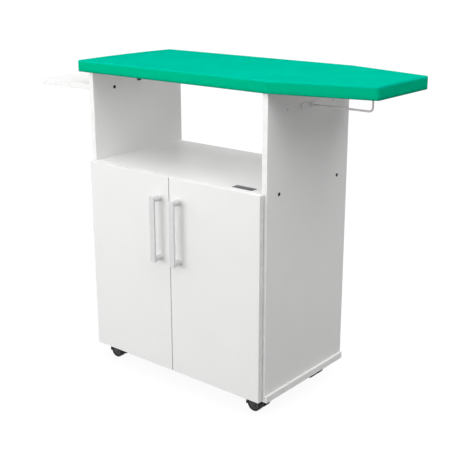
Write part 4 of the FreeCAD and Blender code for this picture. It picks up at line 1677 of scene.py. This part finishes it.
@dataclass
class Studio:
    """The white floor, the soft lamps, the world and the photograph's camera."""

    eye: Point = (1499.46 * MM, -1750.59 * MM, 1133.18 * MM)
    yaw: float = math.radians(39.912)
    pitch: float = math.radians(17.075)
    roll: float = math.radians(-0.184)
    lens: float = 71.2
    sensor: float = 36.0
    clip: tuple[float, float] = (0.05, 60.0)
    floor_size: float = 30.0
    world_strength: float = 0.055
    middle: Point = (0.0, 0.0, 0.45)
    lamps: tuple[Lamp, ...] = (
        Lamp("key", (-1.2, -3.2, 1.2), 2.4, 52.0),
        Lamp("wide", (-0.3, -3.4, 1.3), 4.0, 29.0),
        Lamp("left", (-3.4, -1.6, 1.8), 2.4, 44.0),
        Lamp("overhead", (0.0, -0.2, 3.2), 3.0, 45.0),
        Lamp("rear", (0.6, 3.2, 1.4), 2.2, 66.0),
        Lamp("high_right", (2.4, -0.3, 2.7), 2.0, 40.5),
        Lamp("high_front", (1.2, -2.2, 2.4), 1.8, 17.5),
    )

    def camera(self) -> None:
        """Places the camera where the photograph was taken from."""
        data = bpy.data.cameras.new("photo_camera")
        data.lens, data.sensor_width, data.sensor_fit = self.lens, self.sensor, "HORIZONTAL"
        data.clip_start, data.clip_end = self.clip
        made = linked("photo_camera", data)
        forward = Vector((-math.sin(self.yaw) * math.cos(self.pitch),
                          math.cos(self.yaw) * math.cos(self.pitch), -math.sin(self.pitch)))
        right = Vector((math.cos(self.yaw), math.sin(self.yaw), 0.0))
        up = right.cross(forward)
        turned_right = right * math.cos(self.roll) + up * math.sin(self.roll)
        turned_up = up * math.cos(self.roll) - right * math.sin(self.roll)
        turn = Matrix((turned_right, turned_up, -forward)).transposed().to_4x4()
        made.matrix_world = Matrix.Translation(Vector(self.eye)) @ turn
        bpy.context.scene.camera = made

    def floor(self) -> None:
        """Lays the white floor."""
        shape = bmesh.new()
        bmesh.ops.create_grid(shape, x_segments=4, y_segments=4, size=self.floor_size / 2)
        made = mesh_object("floor", drawn("floor", shape), StudioPaper().build())

    def hang(self, lamp: Lamp) -> None:
        """Hangs one soft lamp, turned towards the cabinet's middle.

        Args:
            lamp: The lamp.
        """
        data = bpy.data.lights.new(lamp.name, "AREA")
        data.shape, data.size, data.energy = "SQUARE", lamp.size, lamp.power
        made = linked(lamp.name, data)
        made.location = lamp.place
        way = Vector(self.middle) - Vector(lamp.place)
        made.rotation_euler = way.to_track_quat("-Z", "Y").to_euler()

    def world(self) -> None:
        """Lights everything softly and shows white behind the floor."""
        world = bpy.data.worlds.new("studio")
        bpy.context.scene.world = world
        world.use_nodes = True
        graph = Graph(world.node_tree)
        level = graph.node("ShaderNodeMapRange", {
            "Value": graph.straight_rays(), "To Min": self.world_strength, "To Max": 1.0})
        back = graph.tree.nodes["Background"].inputs
        graph.plug(level.outputs["Result"], back["Strength"])
        graph.plug((1.0, 1.0, 1.0), back["Color"])

    def build(self) -> None:
        """Sets up the camera, floor, lamps and world."""
        scene = bpy.context.scene
        scene.view_settings.view_transform = "Standard"
        self.camera()
        self.floor()
        self.world()
        for lamp in self.lamps:
            self.hang(lamp)


def main() -> None:
    """Builds every part of the scene in order."""
    logging.basicConfig(level=logging.INFO, format="%(relativeCreated)d ms: %(message)s")
    finishes = Finishes()
    Boards(finishes).build()
    IroningTop(finishes).build()
    Hardware(finishes).build()
    Casters(finishes).build()
    BlankPlate(finishes).build()
    Studio().build()


if __name__ == "__main__":
    main()
